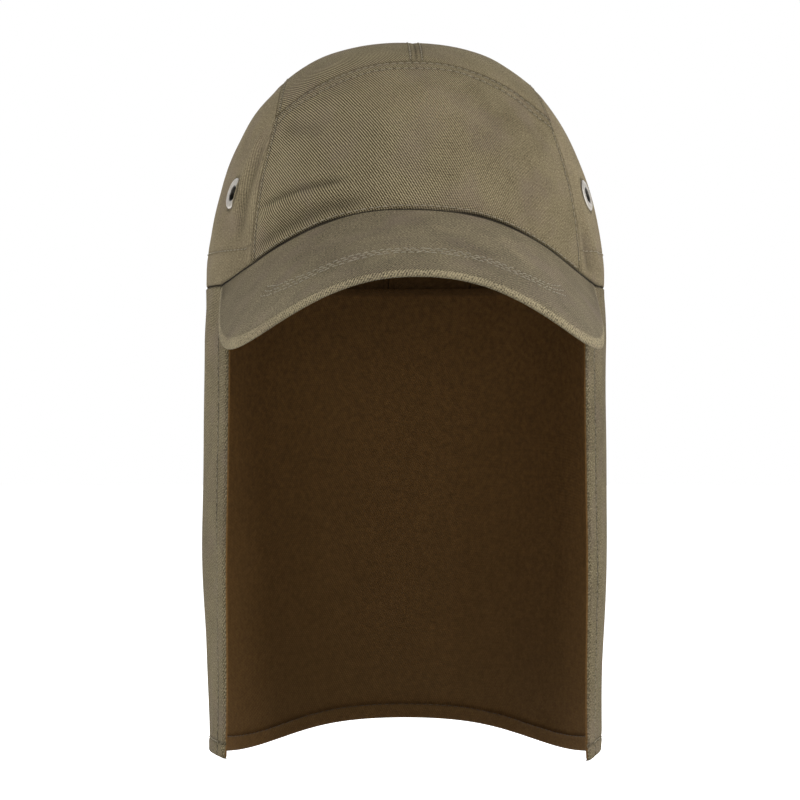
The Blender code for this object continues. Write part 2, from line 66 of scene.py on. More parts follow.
class Side(Enum):
    """The two sides of the cap, as a viewer in front of the peak sees them."""

    LEFT = -1
    RIGHT = 1

    @property
    def word(self) -> str:
        """The side's name as the part's nodes spell it."""
        return self.name.lower()


class Slot(Enum):
    """Material slots of the part's record."""

    CROWN = "crown_cloth"
    PEAK = "peak_cloth"
    FLAP = "flap_cloth"
    METAL = "eyelet_metal"


# Curves and small formulas


def smooth_step(value: np.ndarray | float) -> np.ndarray:
    """Rises from 0 to 1 along an S between the values 0 and 1.

    Args:
        value: Any array of numbers.

    Returns:
        v * v * (3 - 2 v) of the value held between 0 and 1.
    """
    held = np.clip(value, 0.0, 1.0)
    return held * held * (3.0 - 2.0 * held)


def hump(distance: np.ndarray, width: float) -> np.ndarray:
    """A bell that is 1 at distance 0: e to the power of minus (distance / width) squared.

    Args:
        distance: Distances in metres.
        width: Distance at which the bell has fallen to 0.37.

    Returns:
        The bell's height at each distance.
    """
    return np.exp(-((distance / width) ** 2))


def roll_over(distance: np.ndarray, radius: float) -> np.ndarray:
    """How far a face has rolled down at a distance from a rounded rim: a quarter circle.

    Args:
        distance: Distances from the rim.
        radius: Radius of the quarter circle.

    Returns:
        The radius at the rim, falling to 0 at one radius in.
    """
    inside = np.clip(radius - distance, 0.0, radius)
    return 0.94 * (radius - np.sqrt(np.maximum(radius**2 - inside**2, 0.0)))


def graded(count: int, crowding: float = 0.72) -> np.ndarray:
    """Shares from 0 to 1 that crowd towards both ends: t - c sin(2 pi t) / (2 pi).

    Args:
        count: Number of steps.
        crowding: 0 for even steps, towards 1 for ever finer ends.

    Returns:
        count + 1 rising shares.
    """
    even = np.linspace(0.0, 1.0, count + 1)
    return even - crowding * np.sin(2 * math.pi * even) / (2 * math.pi)


def path_through(points: np.ndarray, places: np.ndarray) -> np.ndarray:
    """Positions on a smooth curve through points, by Hermite pieces with slopes from the neighbours.

    Args:
        points: The points, one row each.
        places: Places along the curve, where 2.5 is half way from point 2 to point 3.

    Returns:
        A position for each place.
    """
    padded = np.vstack([2 * points[0] - points[1], points, 2 * points[-1] - points[-2]])
    first = np.clip(np.floor(places).astype(int), 0, len(points) - 2)
    way = (places - first)[..., None]
    before, start, end, after = (padded[first + step] for step in range(4))
    leave = (end - before) / 2
    arrive = (after - start) / 2
    return (
        (2 * way**3 - 3 * way**2 + 1) * start
        + (way**3 - 2 * way**2 + way) * leave
        + (3 * way**2 - 2 * way**3) * end
        + (way**3 - way**2) * arrive
    )


def unit(vectors: np.ndarray) -> np.ndarray:
    """Vectors divided by their lengths."""
    return vectors / np.maximum(np.linalg.norm(vectors, axis=-1, keepdims=True), 1e-12)


def resample(rows: np.ndarray, way: np.ndarray, places: np.ndarray) -> np.ndarray:
    """Rows of numbers at other places along a way, by straight lines between neighbours."""
    return np.stack([np.interp(places, way, column) for column in rows.T], axis=-1)


def run_length(points: np.ndarray, axis: int) -> np.ndarray:
    """Distance travelled along a grid of points from its first row on an axis.

    Args:
        points: Grid of positions.
        axis: 0 to travel across, 1 to travel up.

    Returns:
        A grid of distances that starts at 0: running sums of the steps' lengths.
    """
    steps = np.linalg.norm(np.diff(points, axis=axis), axis=-1)
    start = np.zeros_like(np.take(steps, [0], axis=axis))
    return np.concatenate([start, np.cumsum(steps, axis=axis)], axis=axis)


# Forms that the pieces share with the part's source


@dataclass(frozen=True)
class Head:
    """Round of the crown: rings that shrink with height, fuller than an egg."""

    half_width: float = 0.0860
    half_length: float = 0.1010
    height: float = 0.1057
    shoulder: float = 2.60
    front_fullness: float = 0.12
    dome: float = 1.84
    turn: float = 5.5

    def fullness(self, turn: np.ndarray) -> np.ndarray:
        """Shoulder fullness at a turn: shoulder + front fullness * cos(turn)."""
        return self.shoulder + self.front_fullness * np.cos(np.radians(turn))

    def ring_at(self, height: np.ndarray, turn: np.ndarray) -> np.ndarray:
        """Size of the ring at a height, as a share of the headband.

        Args:
            height: Heights above the headband.
            turn: Turns from the front.

        Returns:
            (1 - (height / crown height) ** dome) ** (1 / fullness).
        """
        share = np.clip(height / self.height, 0.0, 1.0)
        return (1.0 - share**self.dome) ** (1.0 / self.fullness(turn))

    def place(self, ring: np.ndarray, turn: np.ndarray) -> np.ndarray:
        """Position of a ring share and a turn, on an ellipse at the height that the ring has.

        Args:
            ring: Ring sizes as shares of the headband.
            turn: Turns from the front.

        Returns:
            Positions x, y, z.
        """
        angle = np.radians(turn)
        height = self.height * (1.0 - ring ** self.fullness(turn)) ** (1.0 / self.dome)
        x = self.half_width * ring * np.sin(angle)
        y = -self.half_length * ring * np.cos(angle)
        return np.stack([x, y, height], axis=-1)


@dataclass(frozen=True)
class PeakForm:
    """The peak's sheet: it slopes down forwards and bends down to both sides."""

    head: Head
    length: float = 0.0630
    half_width: float = 0.0784
    seam_height: float = 0.0268
    slope: float = 21.8
    end_turn: float = 66.0
    turn: float = 1.7
    bend_power: float = 2.27
    squareness: float = 3.4
    wall: float = 0.0030
    end_wall: float = 0.0016
    taper_share: float = 0.12
    seat_gap: float = 0.0004

    @property
    def end_x(self) -> float:
        """Distance of the peak's ends from the middle plane."""
        return self.head.half_width * math.sin(math.radians(self.end_turn))

    @property
    def end_bend(self) -> float:
        """How far the ends are bent down."""
        back = self.head.half_length * (1.0 - math.cos(math.radians(self.end_turn)))
        return self.seam_height + self.seat_gap + math.tan(math.radians(self.slope)) * back

    def turned(self, x: np.ndarray, y: np.ndarray, turn: float) -> tuple[np.ndarray, np.ndarray]:
        """Plan positions turned about the head's middle.

        Args:
            x: Positions across.
            y: Positions along.
            turn: Turn, anticlockwise seen from above.

        Returns:
            The turned x and y.
        """
        angle = math.radians(turn)
        return x * math.cos(angle) - y * math.sin(angle), x * math.sin(angle) + y * math.cos(angle)

    def top(self, x: np.ndarray, y: np.ndarray) -> np.ndarray:
        """Height of the upper face: seam height + slope forwards - bend * (x / end x) ** power.

        Args:
            x: Plan positions across.
            y: Plan positions along.

        Returns:
            Heights.
        """
        own_x, own_y = self.turned(x, y, -self.turn)
        slope = math.tan(math.radians(self.slope))
        bend = self.end_bend * (np.abs(own_x) / self.end_x) ** self.bend_power
        return self.seam_height + slope * (own_y + self.head.half_length) - bend

    def depth(self, x: np.ndarray, y: np.ndarray, shares: np.ndarray) -> np.ndarray:
        """Upright thickness: the wall times the root of 1 + slope squared + sideways slope squared.

        Args:
            x: Plan positions across.
            y: Plan positions along.
            shares: Shares from the left to the right end.

        Returns:
            Upright thicknesses, thinner towards the ends.
        """
        own_x = np.abs(self.turned(x, y, -self.turn)[0])
        slope = math.tan(math.radians(self.slope))
        steep = self.end_bend * self.bend_power / self.end_x * (own_x / self.end_x) ** (self.bend_power - 1)
        from_end = np.minimum(shares, 1 - shares)
        wall = self.end_wall + (self.wall - self.end_wall) * smooth_step(from_end / self.taper_share)
        return wall * np.sqrt(1.0 + slope**2 + steep**2)

    def outline(self, shares: np.ndarray) -> np.ndarray:
        """Plan positions round the outer edge: a superellipse, evenly spaced by length.

        Args:
            shares: Shares from the left to the right end.

        Returns:
            Plan positions x, y before the peak's own turn.
        """
        end_y = self.head.half_length * math.cos(math.radians(self.end_turn))
        reach = self.head.half_length + self.length - end_y
        angle = np.linspace(-math.pi / 2, math.pi / 2, 721)
        power = 2.0 / self.squareness
        x = self.half_width * np.sign(angle) * np.abs(np.sin(angle)) ** power
        y = -end_y - reach * np.cos(angle) ** power
        way = np.concatenate([[0.0], np.cumsum(np.hypot(np.diff(x), np.diff(y)))])
        places = shares * way[-1]
        return resample(np.stack([x, y], axis=-1), way, places)

    def seam(self, shares: np.ndarray, inset: float) -> np.ndarray:
        """Plan positions where the upper face meets the crown, found by repeating the height.

        Args:
            shares: Shares from the left to the right end.
            inset: How far the seam lies inside the crown's outer face.

        Returns:
            Plan positions x, y.
        """
        turn = self.end_turn * (2 * shares - 1) + self.turn
        angle = np.radians(turn)
        height = np.zeros_like(turn)
        for _ in range(6):
            ring = self.head.ring_at(height, turn)
            x = (self.head.half_width * ring - inset) * np.sin(angle)
            y = -(self.head.half_length * ring - inset) * np.cos(angle)
            height = self.top(x, y)
        return np.stack([x, y], axis=-1)


@dataclass(frozen=True)
class CrownForm:
    """The crown laid out on a flat disc: the rim is its lower edge and the centre its top."""

    head: Head
    peak: PeakForm
    seam_turns: tuple[float, ...] = (53.0, 53.8, 58.5, 90.0, 138.0, 154.0)
    seam_rises: tuple[float, ...] = (0.0, 0.20, 0.42, 0.58, 0.40, 0.0)
    front_corner: int = 2
    back_corner: int = 4
    front_seam_rise: float = 0.547
    centre_bow: float = 0.02

    def edge_height(self, turn: np.ndarray) -> np.ndarray:
        """Height of the lower edge: the peak's lower face in front, and 0 elsewhere.

        Args:
            turn: Turns from the front.

        Returns:
            Heights, found by repeating the ring that each height has.
        """
        angle = np.radians(turn)
        own_turn = np.abs((turn - self.peak.turn + 180.0) % 360.0 - 180.0)
        shares = (1.0 - np.clip(own_turn / self.peak.end_turn, 0.0, 1.0)) / 2.0
        height = np.zeros_like(angle)
        for _ in range(6):
            ring = self.head.ring_at(height, turn)
            x = self.head.half_width * ring * np.sin(angle)
            y = -self.head.half_length * ring * np.cos(angle)
            under = self.peak.top(x, y) - self.peak.depth(x, y, shares)
            height = np.where(own_turn < self.peak.end_turn, np.maximum(under, 0.0), 0.0)
        return height

    def point(self, disc: np.ndarray) -> np.ndarray:
        """Position in space of disc positions: the ring is the cosine of the climb to the top.

        Args:
            disc: Positions on the disc.

        Returns:
            Positions x, y, z.
        """
        reach = np.clip(np.hypot(disc[..., 0], disc[..., 1]), 1e-9, 1.0)
        turn = np.degrees(np.arctan2(disc[..., 0], -disc[..., 1])) + self.head.turn
        edge_rise = np.arccos(self.head.ring_at(self.edge_height(turn), turn))
        climb = edge_rise + (math.pi / 2 - edge_rise) * (1.0 - reach)
        return self.head.place(np.cos(climb), turn)

    def disc(self, turn: np.ndarray | float, rise: np.ndarray | float) -> np.ndarray:
        """Disc position as polar coordinates: the reach is 1 - rise.

        Args:
            turn: Turns from the front.
            rise: Rises from the lower edge, 1 at the top.

        Returns:
            Positions on the disc.
        """
        angle = np.radians(turn)
        reach = 1.0 - np.asarray(rise, float)
        return np.stack([reach * np.sin(angle), -reach * np.cos(angle)], axis=-1)

    def side_seam(self, side: Side) -> Curve:
        """The long seam round a side panel, by place along its rows.

        Args:
            side: Which side.

        Returns:
            The curve on the disc.
        """
        turns = side.value * np.array(self.seam_turns)
        rows = self.disc(turns, np.array(self.seam_rises))
        return lambda place: path_through(rows, np.asarray(place, float))

    def side_run(self, side: Side, start: float, end: float) -> Curve:
        """A stretch of the long seam between two places, by share."""
        seam = self.side_seam(side)
        return lambda share: seam(start + (end - start) * share)

    def front_seam(self, share: np.ndarray) -> np.ndarray:
        """The seam over the front panel: its chord plus a parabola, 4 s (1 - s), up to its middle.

        Args:
            share: Shares from left to right.

        Returns:
            Positions on the disc.
        """
        left = self.side_seam(Side.LEFT)(self.front_corner)
        right = self.side_seam(Side.RIGHT)(self.front_corner)
        middle = self.disc(0.0, self.front_seam_rise)
        way = np.asarray(share, float)[..., None]
        return (1 - way) * left + way * right + 4 * way * (1 - way) * (middle - (left + right) / 2)

    def centre_seam(self, share: np.ndarray) -> np.ndarray:
        """The seam between the top panels: its chord plus bow * sin(pi s).

        Args:
            share: Shares from front to back.

        Returns:
            Positions on the disc.
        """
        way = np.asarray(share, float)[..., None]
        bow = self.centre_bow * np.sin(math.pi * way) * np.array([1.0, 0.0])
        return (1 - way) * self.disc(0.0, self.front_seam_rise) + way * self.disc(180.0, 0.0) + bow

    def edge(self, start: float, end: float) -> Curve:
        """The lower edge between two turns, by share."""
        return lambda share: self.disc(start + (end - start) * share, np.zeros_like(share))


# Cloth


@dataclass(frozen=True)
class Crease:
    """A soft ridge or furrow along a straight way, in shares of a panel, and its height in metres."""

    start: tuple[float, float]
    end: tuple[float, float]
    width: float
    height: float
    fade: float = 0.15

    def lift(self, across: np.ndarray, up: np.ndarray, size: tuple[float, float]) -> np.ndarray:
        """Height of the crease: a bell across its way that fades in and out along it.

        Args:
            across: Shares across the panel.
            up: Shares up the panel.
            size: The panel's width and height.

        Returns:
            Heights over the panel's face.
        """
        width, height = size
        start = np.array([self.start[0] * width, self.start[1] * height])
        way = np.array([self.end[0] * width, self.end[1] * height]) - start
        length = np.hypot(*way)
        x = across * width - start[0]
        y = up * height - start[1]
        along = (x * way[0] + y * way[1]) / length**2
        aside = (x * way[1] - y * way[0]) / length
        fade_in = smooth_step((along + self.fade) / (2 * self.fade))
        fade_out = smooth_step((1 + self.fade - along) / (2 * self.fade))
        return self.height * fade_in * fade_out * hump(aside, self.width * width)


@dataclass(frozen=True)
class Edge:
    """How a cloth face is finished along one border."""

    ditch: float = 0.0
    reach: float = 0.0014
    ridge: float = 0.0
    rows: tuple[float, ...] = ()
    groove: float = 0.00024
    groove_width: float = 0.0007
    rim: float = 0.00015
    ridge_start: float = 0.0006
    ridge_rise: float = 0.0016
    ridge_fall: float = 0.0024
    shade_width: float = 0.0006
    # How dark the painted shade is in the seam ditch and in the stitch grooves
    ditch_shade: float = 0.60
    row_shade: float = 0.85

    def lift(self, distance: np.ndarray) -> np.ndarray:
        """Height near the border: a ditch, a raised allowance out to the last row, and stitch grooves.

        Args:
            distance: Distances from the border.

        Returns:
            Heights over the face.
        """
        lift = -self.ditch * hump(distance, self.reach) - roll_over(distance, self.rim)
        if self.rows:
            outer = max(self.rows)
            rise = smooth_step((distance - self.ridge_start) / self.ridge_rise)
            fall = 1.0 - smooth_step((distance - outer) / self.ridge_fall)
            lift = lift + self.ridge * rise * fall
        for row in self.rows:
            lift = lift - self.groove * hump(distance - row, self.groove_width)
        return lift

    def shade(self, distance: np.ndarray) -> np.ndarray:
        """How much painted shade a place gets in a ditch or groove: the highest of the bells round each.

        Args:
            distance: Distances from the border.

        Returns:
            Painted shade from 0 to 1.
        """
        depth = (self.ditch_shade if self.ditch else 0.0) * hump(distance, self.shade_width)
        for row in self.rows:
            depth = np.maximum(depth, self.row_shade * hump(distance - row, self.shade_width))
        return depth


@dataclass(frozen=True)
class Cloth:
    """A worked-out wall of cloth: grids of its two faces and what its finish needs to know."""

    outer: np.ndarray
    inner: np.ndarray
    weave: np.ndarray
    groove: np.ndarray
    worn: np.ndarray
    keep: np.ndarray | None = None


@dataclass(frozen=True)
class Unevenness:
    """Slow bumps that no sewn cloth is without: a sum of sine waves in seeded directions."""

    seed: int = 11
    height: float = 0.00030
    waves: int = 9
    shortest: float = 0.016
    longest: float = 0.048

    def lift(self, points: np.ndarray) -> np.ndarray:
        """Height at each position: the mean of the waves, sin(2 pi p . direction / length + start).

        Args:
            points: Positions in space.

        Returns:
            Heights, about as high as the size says.
        """
        random = np.random.default_rng(self.seed)
        directions = unit(random.normal(size=(self.waves, 3)))
        lengths = random.uniform(self.shortest, self.longest, self.waves)
        starts = random.uniform(0, 2 * math.pi, self.waves)
        phase = points @ (directions / lengths[:, None]).T * 2 * math.pi + starts
        return self.height * np.sin(phase).sum(axis=-1) / math.sqrt(self.waves)


@dataclass
class Panel:
    """One crown panel: a patch between four seams, with what sewing does to its face."""

    name: str
    form: CrownForm
    low: Curve
    high: Curve
    first: Curve
    last: Curve
    edges: tuple[Edge, Edge, Edge, Edge]
    columns: int
    rows: int
    creases: tuple[Crease, ...] = ()
    puff: float = 0.0010
    wall: float = 0.0015
    pucker: float = 0.00012
    pucker_pitch: float = 0.0075
    peak_ditch: float = 0.0011
    flat_top: float = 0.0011
    crease_shade: float = 0.0017
    band_row: float | None = None
    eyelet: tuple[float, float] | None = None
    eyelet_rise: float = 0.0005
    eyelet_hole: float = 0.0042
    eyelet_rise_width: float = 0.0078
    eyelet_shade_radius: float = 0.0070
    pucker_swing: float = 1.7
    swing_pitch: float = 0.0049
    pucker_reach: float = 0.0042
    border_width: float = 0.0015
    free_width: float = 0.008
    worn_width: float = 0.0016
    flat_from: float = 0.080
    flat_over: float = 0.026
    peak_ditch_width: float = 0.0013
    band_groove: float = 0.00016
    band_groove_width: float = 0.0009
    shade_width: float = 0.0007
    uneven: Unevenness = field(default_factory=Unevenness)

    def base(self, across: np.ndarray, up: np.ndarray) -> np.ndarray:
        """Smooth crown face under the panel: a Coons patch of the four seams on the disc.

        Args:
            across: Shares from the first to the last seam.
            up: Shares from the low to the high seam.

        Returns:
            Positions in space.
        """
        along = across[..., None]
        rise = up[..., None]
        zero = np.zeros_like(across)
        one = np.ones_like(across)
        ruled_up = (1 - rise) * self.low(across) + rise * self.high(across)
        ruled_across = (1 - along) * self.first(up) + along * self.last(up)
        low = (1 - along) * self.low(zero) + along * self.low(one)
        high = (1 - along) * self.high(zero) + along * self.high(one)
        return self.form.point(ruled_up + ruled_across - (1 - rise) * low - rise * high)

    def normal(self, across: np.ndarray, up: np.ndarray) -> np.ndarray:
        """Outward unit normals of the smooth face: the cross product of steps across and up.

        Args:
            across: Shares from the first to the last seam.
            up: Shares from the low to the high seam.

        Returns:
            Unit vectors.
        """
        step = 1e-3
        side = self.base(np.clip(across + step, 0, 1), up) - self.base(np.clip(across - step, 0, 1), up)
        rise = self.base(across, np.clip(up + step, 0, 1)) - self.base(across, np.clip(up - step, 0, 1))
        return unit(np.cross(side, rise))

    def size(self) -> tuple[float, float]:
        """Size of the smooth face by running length.

        Returns:
            Width at half height and height at half width.
        """
        way = np.linspace(0.0, 1.0, 61)
        half = np.full_like(way, 0.5)
        width = run_length(self.base(way, half), 0)[-1]
        height = run_length(self.base(half, way), 0)[-1]
        return float(width), float(height)

    def above_peak(self, points: np.ndarray) -> np.ndarray:
        """Height above the peak's upper face in front of the ears, and far elsewhere."""
        over = points[..., 2] - self.form.peak.top(points[..., 0], points[..., 1])
        return np.where(points[..., 1] < -0.02, over, 1.0)

    def face(self, across: np.ndarray, up: np.ndarray) -> tuple[np.ndarray, ...]:
        """Outer face with everything that sewing does to it.

        The lift off the smooth face is the sum of the puff 16 a (1 - a) u (1 - u), each border's edge
        formula, puckers that die away from the borders, creases, unevenness, and a ditch at the peak.

        Args:
            across: Shares from the first to the last seam.
            up: Shares from the low to the high seam.

        Returns:
            Outer positions, normals, painted shade from 0 to 1 in seams, grooves and creases, and how near an
            edge is, for real rubbing plus a painted highlight.
        """
        base = self.base(across, up)
        normal = self.normal(across, up)
        size = self.size()
        zero = np.zeros_like(across)
        one = np.ones_like(across)
        borders = (
            (np.linalg.norm(base - self.base(across, zero), axis=-1), across * size[0]),
            (np.linalg.norm(base - self.base(across, one), axis=-1), across * size[0]),
            (np.linalg.norm(base - self.base(zero, up), axis=-1), up * size[1]),
            (np.linalg.norm(base - self.base(one, up), axis=-1), up * size[1]),
        )
        inner = np.clip(4 * across * (1 - across), 0, 1) * np.clip(4 * up * (1 - up), 0, 1)
        lift = self.puff * inner
        groove = np.zeros_like(across)
        nearest = np.full_like(across, 1.0)
        for edge, (distance, along) in zip(self.edges, borders):
            lift = lift + edge.lift(distance)
            # Painted shade in the seam ditches and stitch grooves
            groove = np.maximum(groove, edge.shade(distance))
            if edge.rows:
                swing = self.pucker_swing * np.sin(along / self.swing_pitch)
                wave = np.sin(2 * math.pi * along / self.pucker_pitch + swing)
                near = smooth_step(distance / self.border_width) * np.exp(-distance / self.pucker_reach)
                lift = lift + self.pucker * wave * near
            nearest = np.minimum(nearest, distance)
        lift = lift - self.flat_top * smooth_step((base[..., 2] - self.flat_from) / self.flat_over)
        free = smooth_step(nearest / self.free_width)
        for crease in self.creases:
            rise = free * crease.lift(across, up, size)
            lift = lift + rise
            # Painted shade in the furrows of the creases
            groove = np.maximum(groove, -rise / self.crease_shade)
        lift = lift + free * self.uneven.lift(base)
        over = np.maximum(self.above_peak(base), 0.0)
        lift = lift - self.peak_ditch * hump(over, self.peak_ditch_width)
        # The shadow above the peak is narrow in front and widens to both sides
        seam_width = 0.0004 + 0.0005 * smooth_step((np.abs(base[..., 0]) - 0.015) / 0.02)
        groove = np.maximum(groove, 3.0 * hump(over, seam_width))
        if self.band_row is not None:
            from_row = borders[0][0] - self.band_row
            lift = lift - self.band_groove * hump(from_row, self.band_groove_width)
            # Painted shade in the groove of the band's stitch row
            groove = np.maximum(groove, 0.5 * hump(from_row, self.shade_width))
        if self.eyelet is not None:
            away = np.linalg.norm(base - self.eyelet_place()[0], axis=-1)
            lift = lift + self.eyelet_rise * np.exp(-((away / self.eyelet_rise_width) ** 4))
            # Painted shadow in a ring round the eyelet's flange
            groove = np.maximum(groove, 1.3 * hump(away - self.eyelet_shade_radius, self.shade_width))
        return base + lift[..., None] * normal, normal, groove, np.exp(-nearest / self.worn_width)

    def eyelet_place(self) -> tuple[np.ndarray, np.ndarray]:
        """Middle of the eyelet on the smooth face and the way out of the cloth there."""
        across, up = (np.array([share]) for share in self.eyelet)
        return self.base(across, up)[0], self.normal(across, up)[0]

    def cloth(self) -> Cloth:
        """The whole panel as a wall of cloth on its grid.

        Returns:
            Faces, weave distances and finish masks, with a hole where an eyelet goes.
        """
        across, up = np.meshgrid(graded(self.columns), graded(self.rows), indexing="ij")
        outer, normal, groove, worn = self.face(across, up)
        base = self.base(across, up)
        run = run_length(base, 0)
        u = run - run[self.columns // 2]
        v = run_length(base, 1)
        borders = [u - u[:1], u[-1:] - u, v, v[:, -1:] - v]
        thin = sum(roll_over(distance, self.wall / 2) for distance in borders)
        inner = outer - (self.wall - np.minimum(1.9 * thin, 0.9 * self.wall))[..., None] * normal
        keep = None
        if self.eyelet is not None:
            middle = (outer[1:, 1:] + outer[:-1, :-1]) / 2
            keep = np.linalg.norm(middle - self.eyelet_place()[0], axis=-1) > self.eyelet_hole
        return Cloth(outer, inner, np.stack([u, v], axis=-1), groove, worn, keep)

    def row_from(self, border: str, distance: float, start: float = 0.0, end: float = 1.0) -> StitchRow:
        """A row of stitches at a distance from one border.

        The share off the border is the distance over the speed at which positions leave it.

        Args:
            border: "low", "high", "first" or "last".
            distance: Distance from the border.
            start: Share of the border where the row starts.
            end: Share of the border where the row ends.

        Returns:
            The row, on the finished outer face.
        """
        along = np.linspace(start, end, 160)
        step = 0.02
        level = border in ("low", "high")
        near = np.full_like(along, float(border in ("high", "last")))
        inward = near + step * (1 - 2 * near)
        pair = [self.base(along, end) if level else self.base(end, along) for end in (near, inward)]
        share = distance * step / np.linalg.norm(pair[1] - pair[0], axis=-1)
        for _ in range(4):
            away = near + share * (1 - 2 * near)
            across, up = (along, away) if level else (away, along)
            share = share * distance / np.linalg.norm(self.base(across, up) - pair[0], axis=-1)
        points, normals, _, _ = self.face(across, up)
        return StitchRow(points, normals)

    def row_above_peak(self, height: float, start: float, end: float) -> StitchRow:
        """A row of stitches at a height above the peak's seam, found by repeated steps up the cloth.

        Args:
            height: Height above the peak's upper face.
            start: Share across where the row starts.
            end: Share across where the row ends.

        Returns:
            The row, on the finished outer face.
        """
        across = np.linspace(start, end, 160)
        up = np.full_like(across, 0.05)
        for _ in range(8):
            here = self.above_peak(self.base(across, up))
            there = self.above_peak(self.base(across, up + 0.01))
            up = np.clip(up + (height - here) * 0.01 / np.maximum(there - here, 1e-5), 0.0, 0.5)
        points, normals, _, _ = self.face(across, up)
        return StitchRow(points, normals)


@dataclass(frozen=True)
class StitchRow:
    """A line on a face along which a thread is sewn, with the face's normals."""

    points: np.ndarray
    normals: np.ndarray
    pitch: float = 0.0030
    length: float = 0.0023


@dataclass(frozen=True)
class Thread:
    """Sewing thread: each stitch is a small spindle bowed up out of the cloth."""

    radius: float = 0.00021
    rings: tuple[float, ...] = (-1.0, -0.62, 0.0, 0.62, 1.0)
    waists: tuple[float, ...] = (0.35, 0.92, 1.0, 0.92, 0.35)
    sides: int = 5
    bow: float = 0.00022
    jitter: float = 0.00012
    slant: float = 0.04
    lean: float = 0.035
    reach: float = 0.0012
    lift: float = 0.00002
    starts: tuple[float, float] = (0.2, 0.8)
    lengths: tuple[float, float] = (0.92, 1.08)
    seed: int = 5

    def sew(self, name: str, rows: Sequence[StitchRow], finish: ThreadFinish) -> bpy.types.Object:
        """Sews all rows into one piece.

        Every stitch carries the same template: rings round its own line, with radius waist * thread
        radius, lifted by bow * (1 - ring squared), set by its middle, its run and its face's normal.

        Args:
            name: Name of the piece.
            rows: The rows of stitches.
            finish: The thread's finish.

        Returns:
            The piece.
        """
        random = np.random.default_rng(self.seed)
        frames = [self.frames(row, random) for row in rows]
        middle, run, out, half = (np.concatenate(parts) for parts in zip(*frames))
        aside = np.cross(out, run)
        ring = np.repeat(np.array(self.rings), self.sides)
        waist = np.repeat(np.array(self.waists), self.sides) * self.radius
        turn = np.tile(np.arange(self.sides) * 2 * math.pi / self.sides, len(self.rings))
        rise = waist * np.sin(turn) + self.bow * (1 - ring**2)
        points = (
            middle[:, None]
            + run[:, None] * (half[:, None] * ring)[..., None]
            + aside[:, None] * (waist * np.cos(turn))[None, :, None]
            + out[:, None] * rise[None, :, None]
        )
        index, quads = ring_quads(len(self.rings), self.sides)
        count = index.size
        shifts = np.arange(len(middle)) * count
        walls = (shifts[:, None, None] + quads).reshape(-1, 4)
        starts = (shifts[:, None] + index[0][::-1]).reshape(-1, self.sides)
        ends = (shifts[:, None] + index[-1]).reshape(-1, self.sides)
        faces = [*walls.tolist(), *starts.tolist(), *ends.tolist()]
        along = np.tile(ring, len(middle)) * np.repeat(half, count)
        round_it = np.tile(turn, len(middle)) * self.radius
        uv = np.stack([along, round_it], axis=-1)
        return put_mesh(name, points.reshape(-1, 3), faces, uv, {}, finish.material())

    def frames(self, row: StitchRow, random: np.random.Generator) -> tuple[np.ndarray, ...]:
        """Middle, run, way out and half length of each stitch of a row, with a little unevenness.

        Args:
            row: The row.
            random: Seeded numbers for the unevenness.

        Returns:
            Four arrays with an entry for each stitch.
        """
        way = run_length(row.points, 0)
        count = max(int(way[-1] / row.pitch), 1)
        places = (np.arange(count) + random.uniform(*self.starts)) * way[-1] / count
        places = places + random.normal(0.0, self.jitter, count)
        middle = resample(row.points, way, places)
        before = resample(row.points, way, places - self.reach)
        run = unit(resample(row.points, way, places + self.reach) - before)
        out = unit(resample(row.normals, way, places))
        out = unit(out - (out * run).sum(axis=-1, keepdims=True) * run)
        slant = random.normal(self.lean, self.slant, (count, 1))
        run = unit(run + slant * np.cross(out, run))
        half = row.length / 2 * random.uniform(*self.lengths, count)
        return middle + self.lift * out, run, out, half


# Meshes


def put_mesh(
    name: str,
    points: np.ndarray,
    faces: Sequence[Sequence[int]],
    uv: np.ndarray,
    values: Mapping[str, np.ndarray],
    material: bpy.types.Material,
) -> bpy.types.Object:
    """Makes a smooth mesh object of whole arrays.

    Args:
        name: Name of the object.
        points: Positions, one row each.
        faces: Corner numbers of each face, anticlockwise seen from outside.
        uv: Distances along and across the weave in metres, one row for each point.
        values: Named numbers for each point.
        material: The finish.

    Returns:
        The object, linked to the scene at the origin.
    """
    mesh = bpy.data.meshes.new(name)
    mesh.from_pydata(points, (), faces)
    layer = mesh.uv_layers.new(name="weave")
    corners = np.empty(len(mesh.loops), dtype=np.int32)
    mesh.loops.foreach_get("vertex_index", corners)
    layer.uv.foreach_set("vector", uv[corners].astype(np.float32).ravel())
    for word, numbers in values.items():
        attribute = mesh.attributes.new(word, "FLOAT", "POINT")
        attribute.data.foreach_set("value", numbers.astype(np.float32).ravel())
    mesh.shade_smooth()
    mesh.set_sharp_from_angle(angle=math.radians(62.0))
    mesh.materials.append(material)
    piece = bpy.data.objects.new(name, mesh)
    bpy.context.scene.collection.objects.link(piece)
    return piece


def ring_quads(count: int, around: int) -> tuple[np.ndarray, np.ndarray]:
    """Point numbers of stacked closed rings, and the quads between neighbouring rings.

    Args:
        count: Number of rings.
        around: Points round each ring.

    Returns:
        Numbers, a row for each ring, and the corner numbers of the quads, four to a row.
    """
    index = np.arange(count * around).reshape(count, around)
    after = np.roll(index, -1, axis=1)
    return index, np.stack([index[:-1], after[:-1], after[1:], index[1:]], axis=-1).reshape(-1, 4)


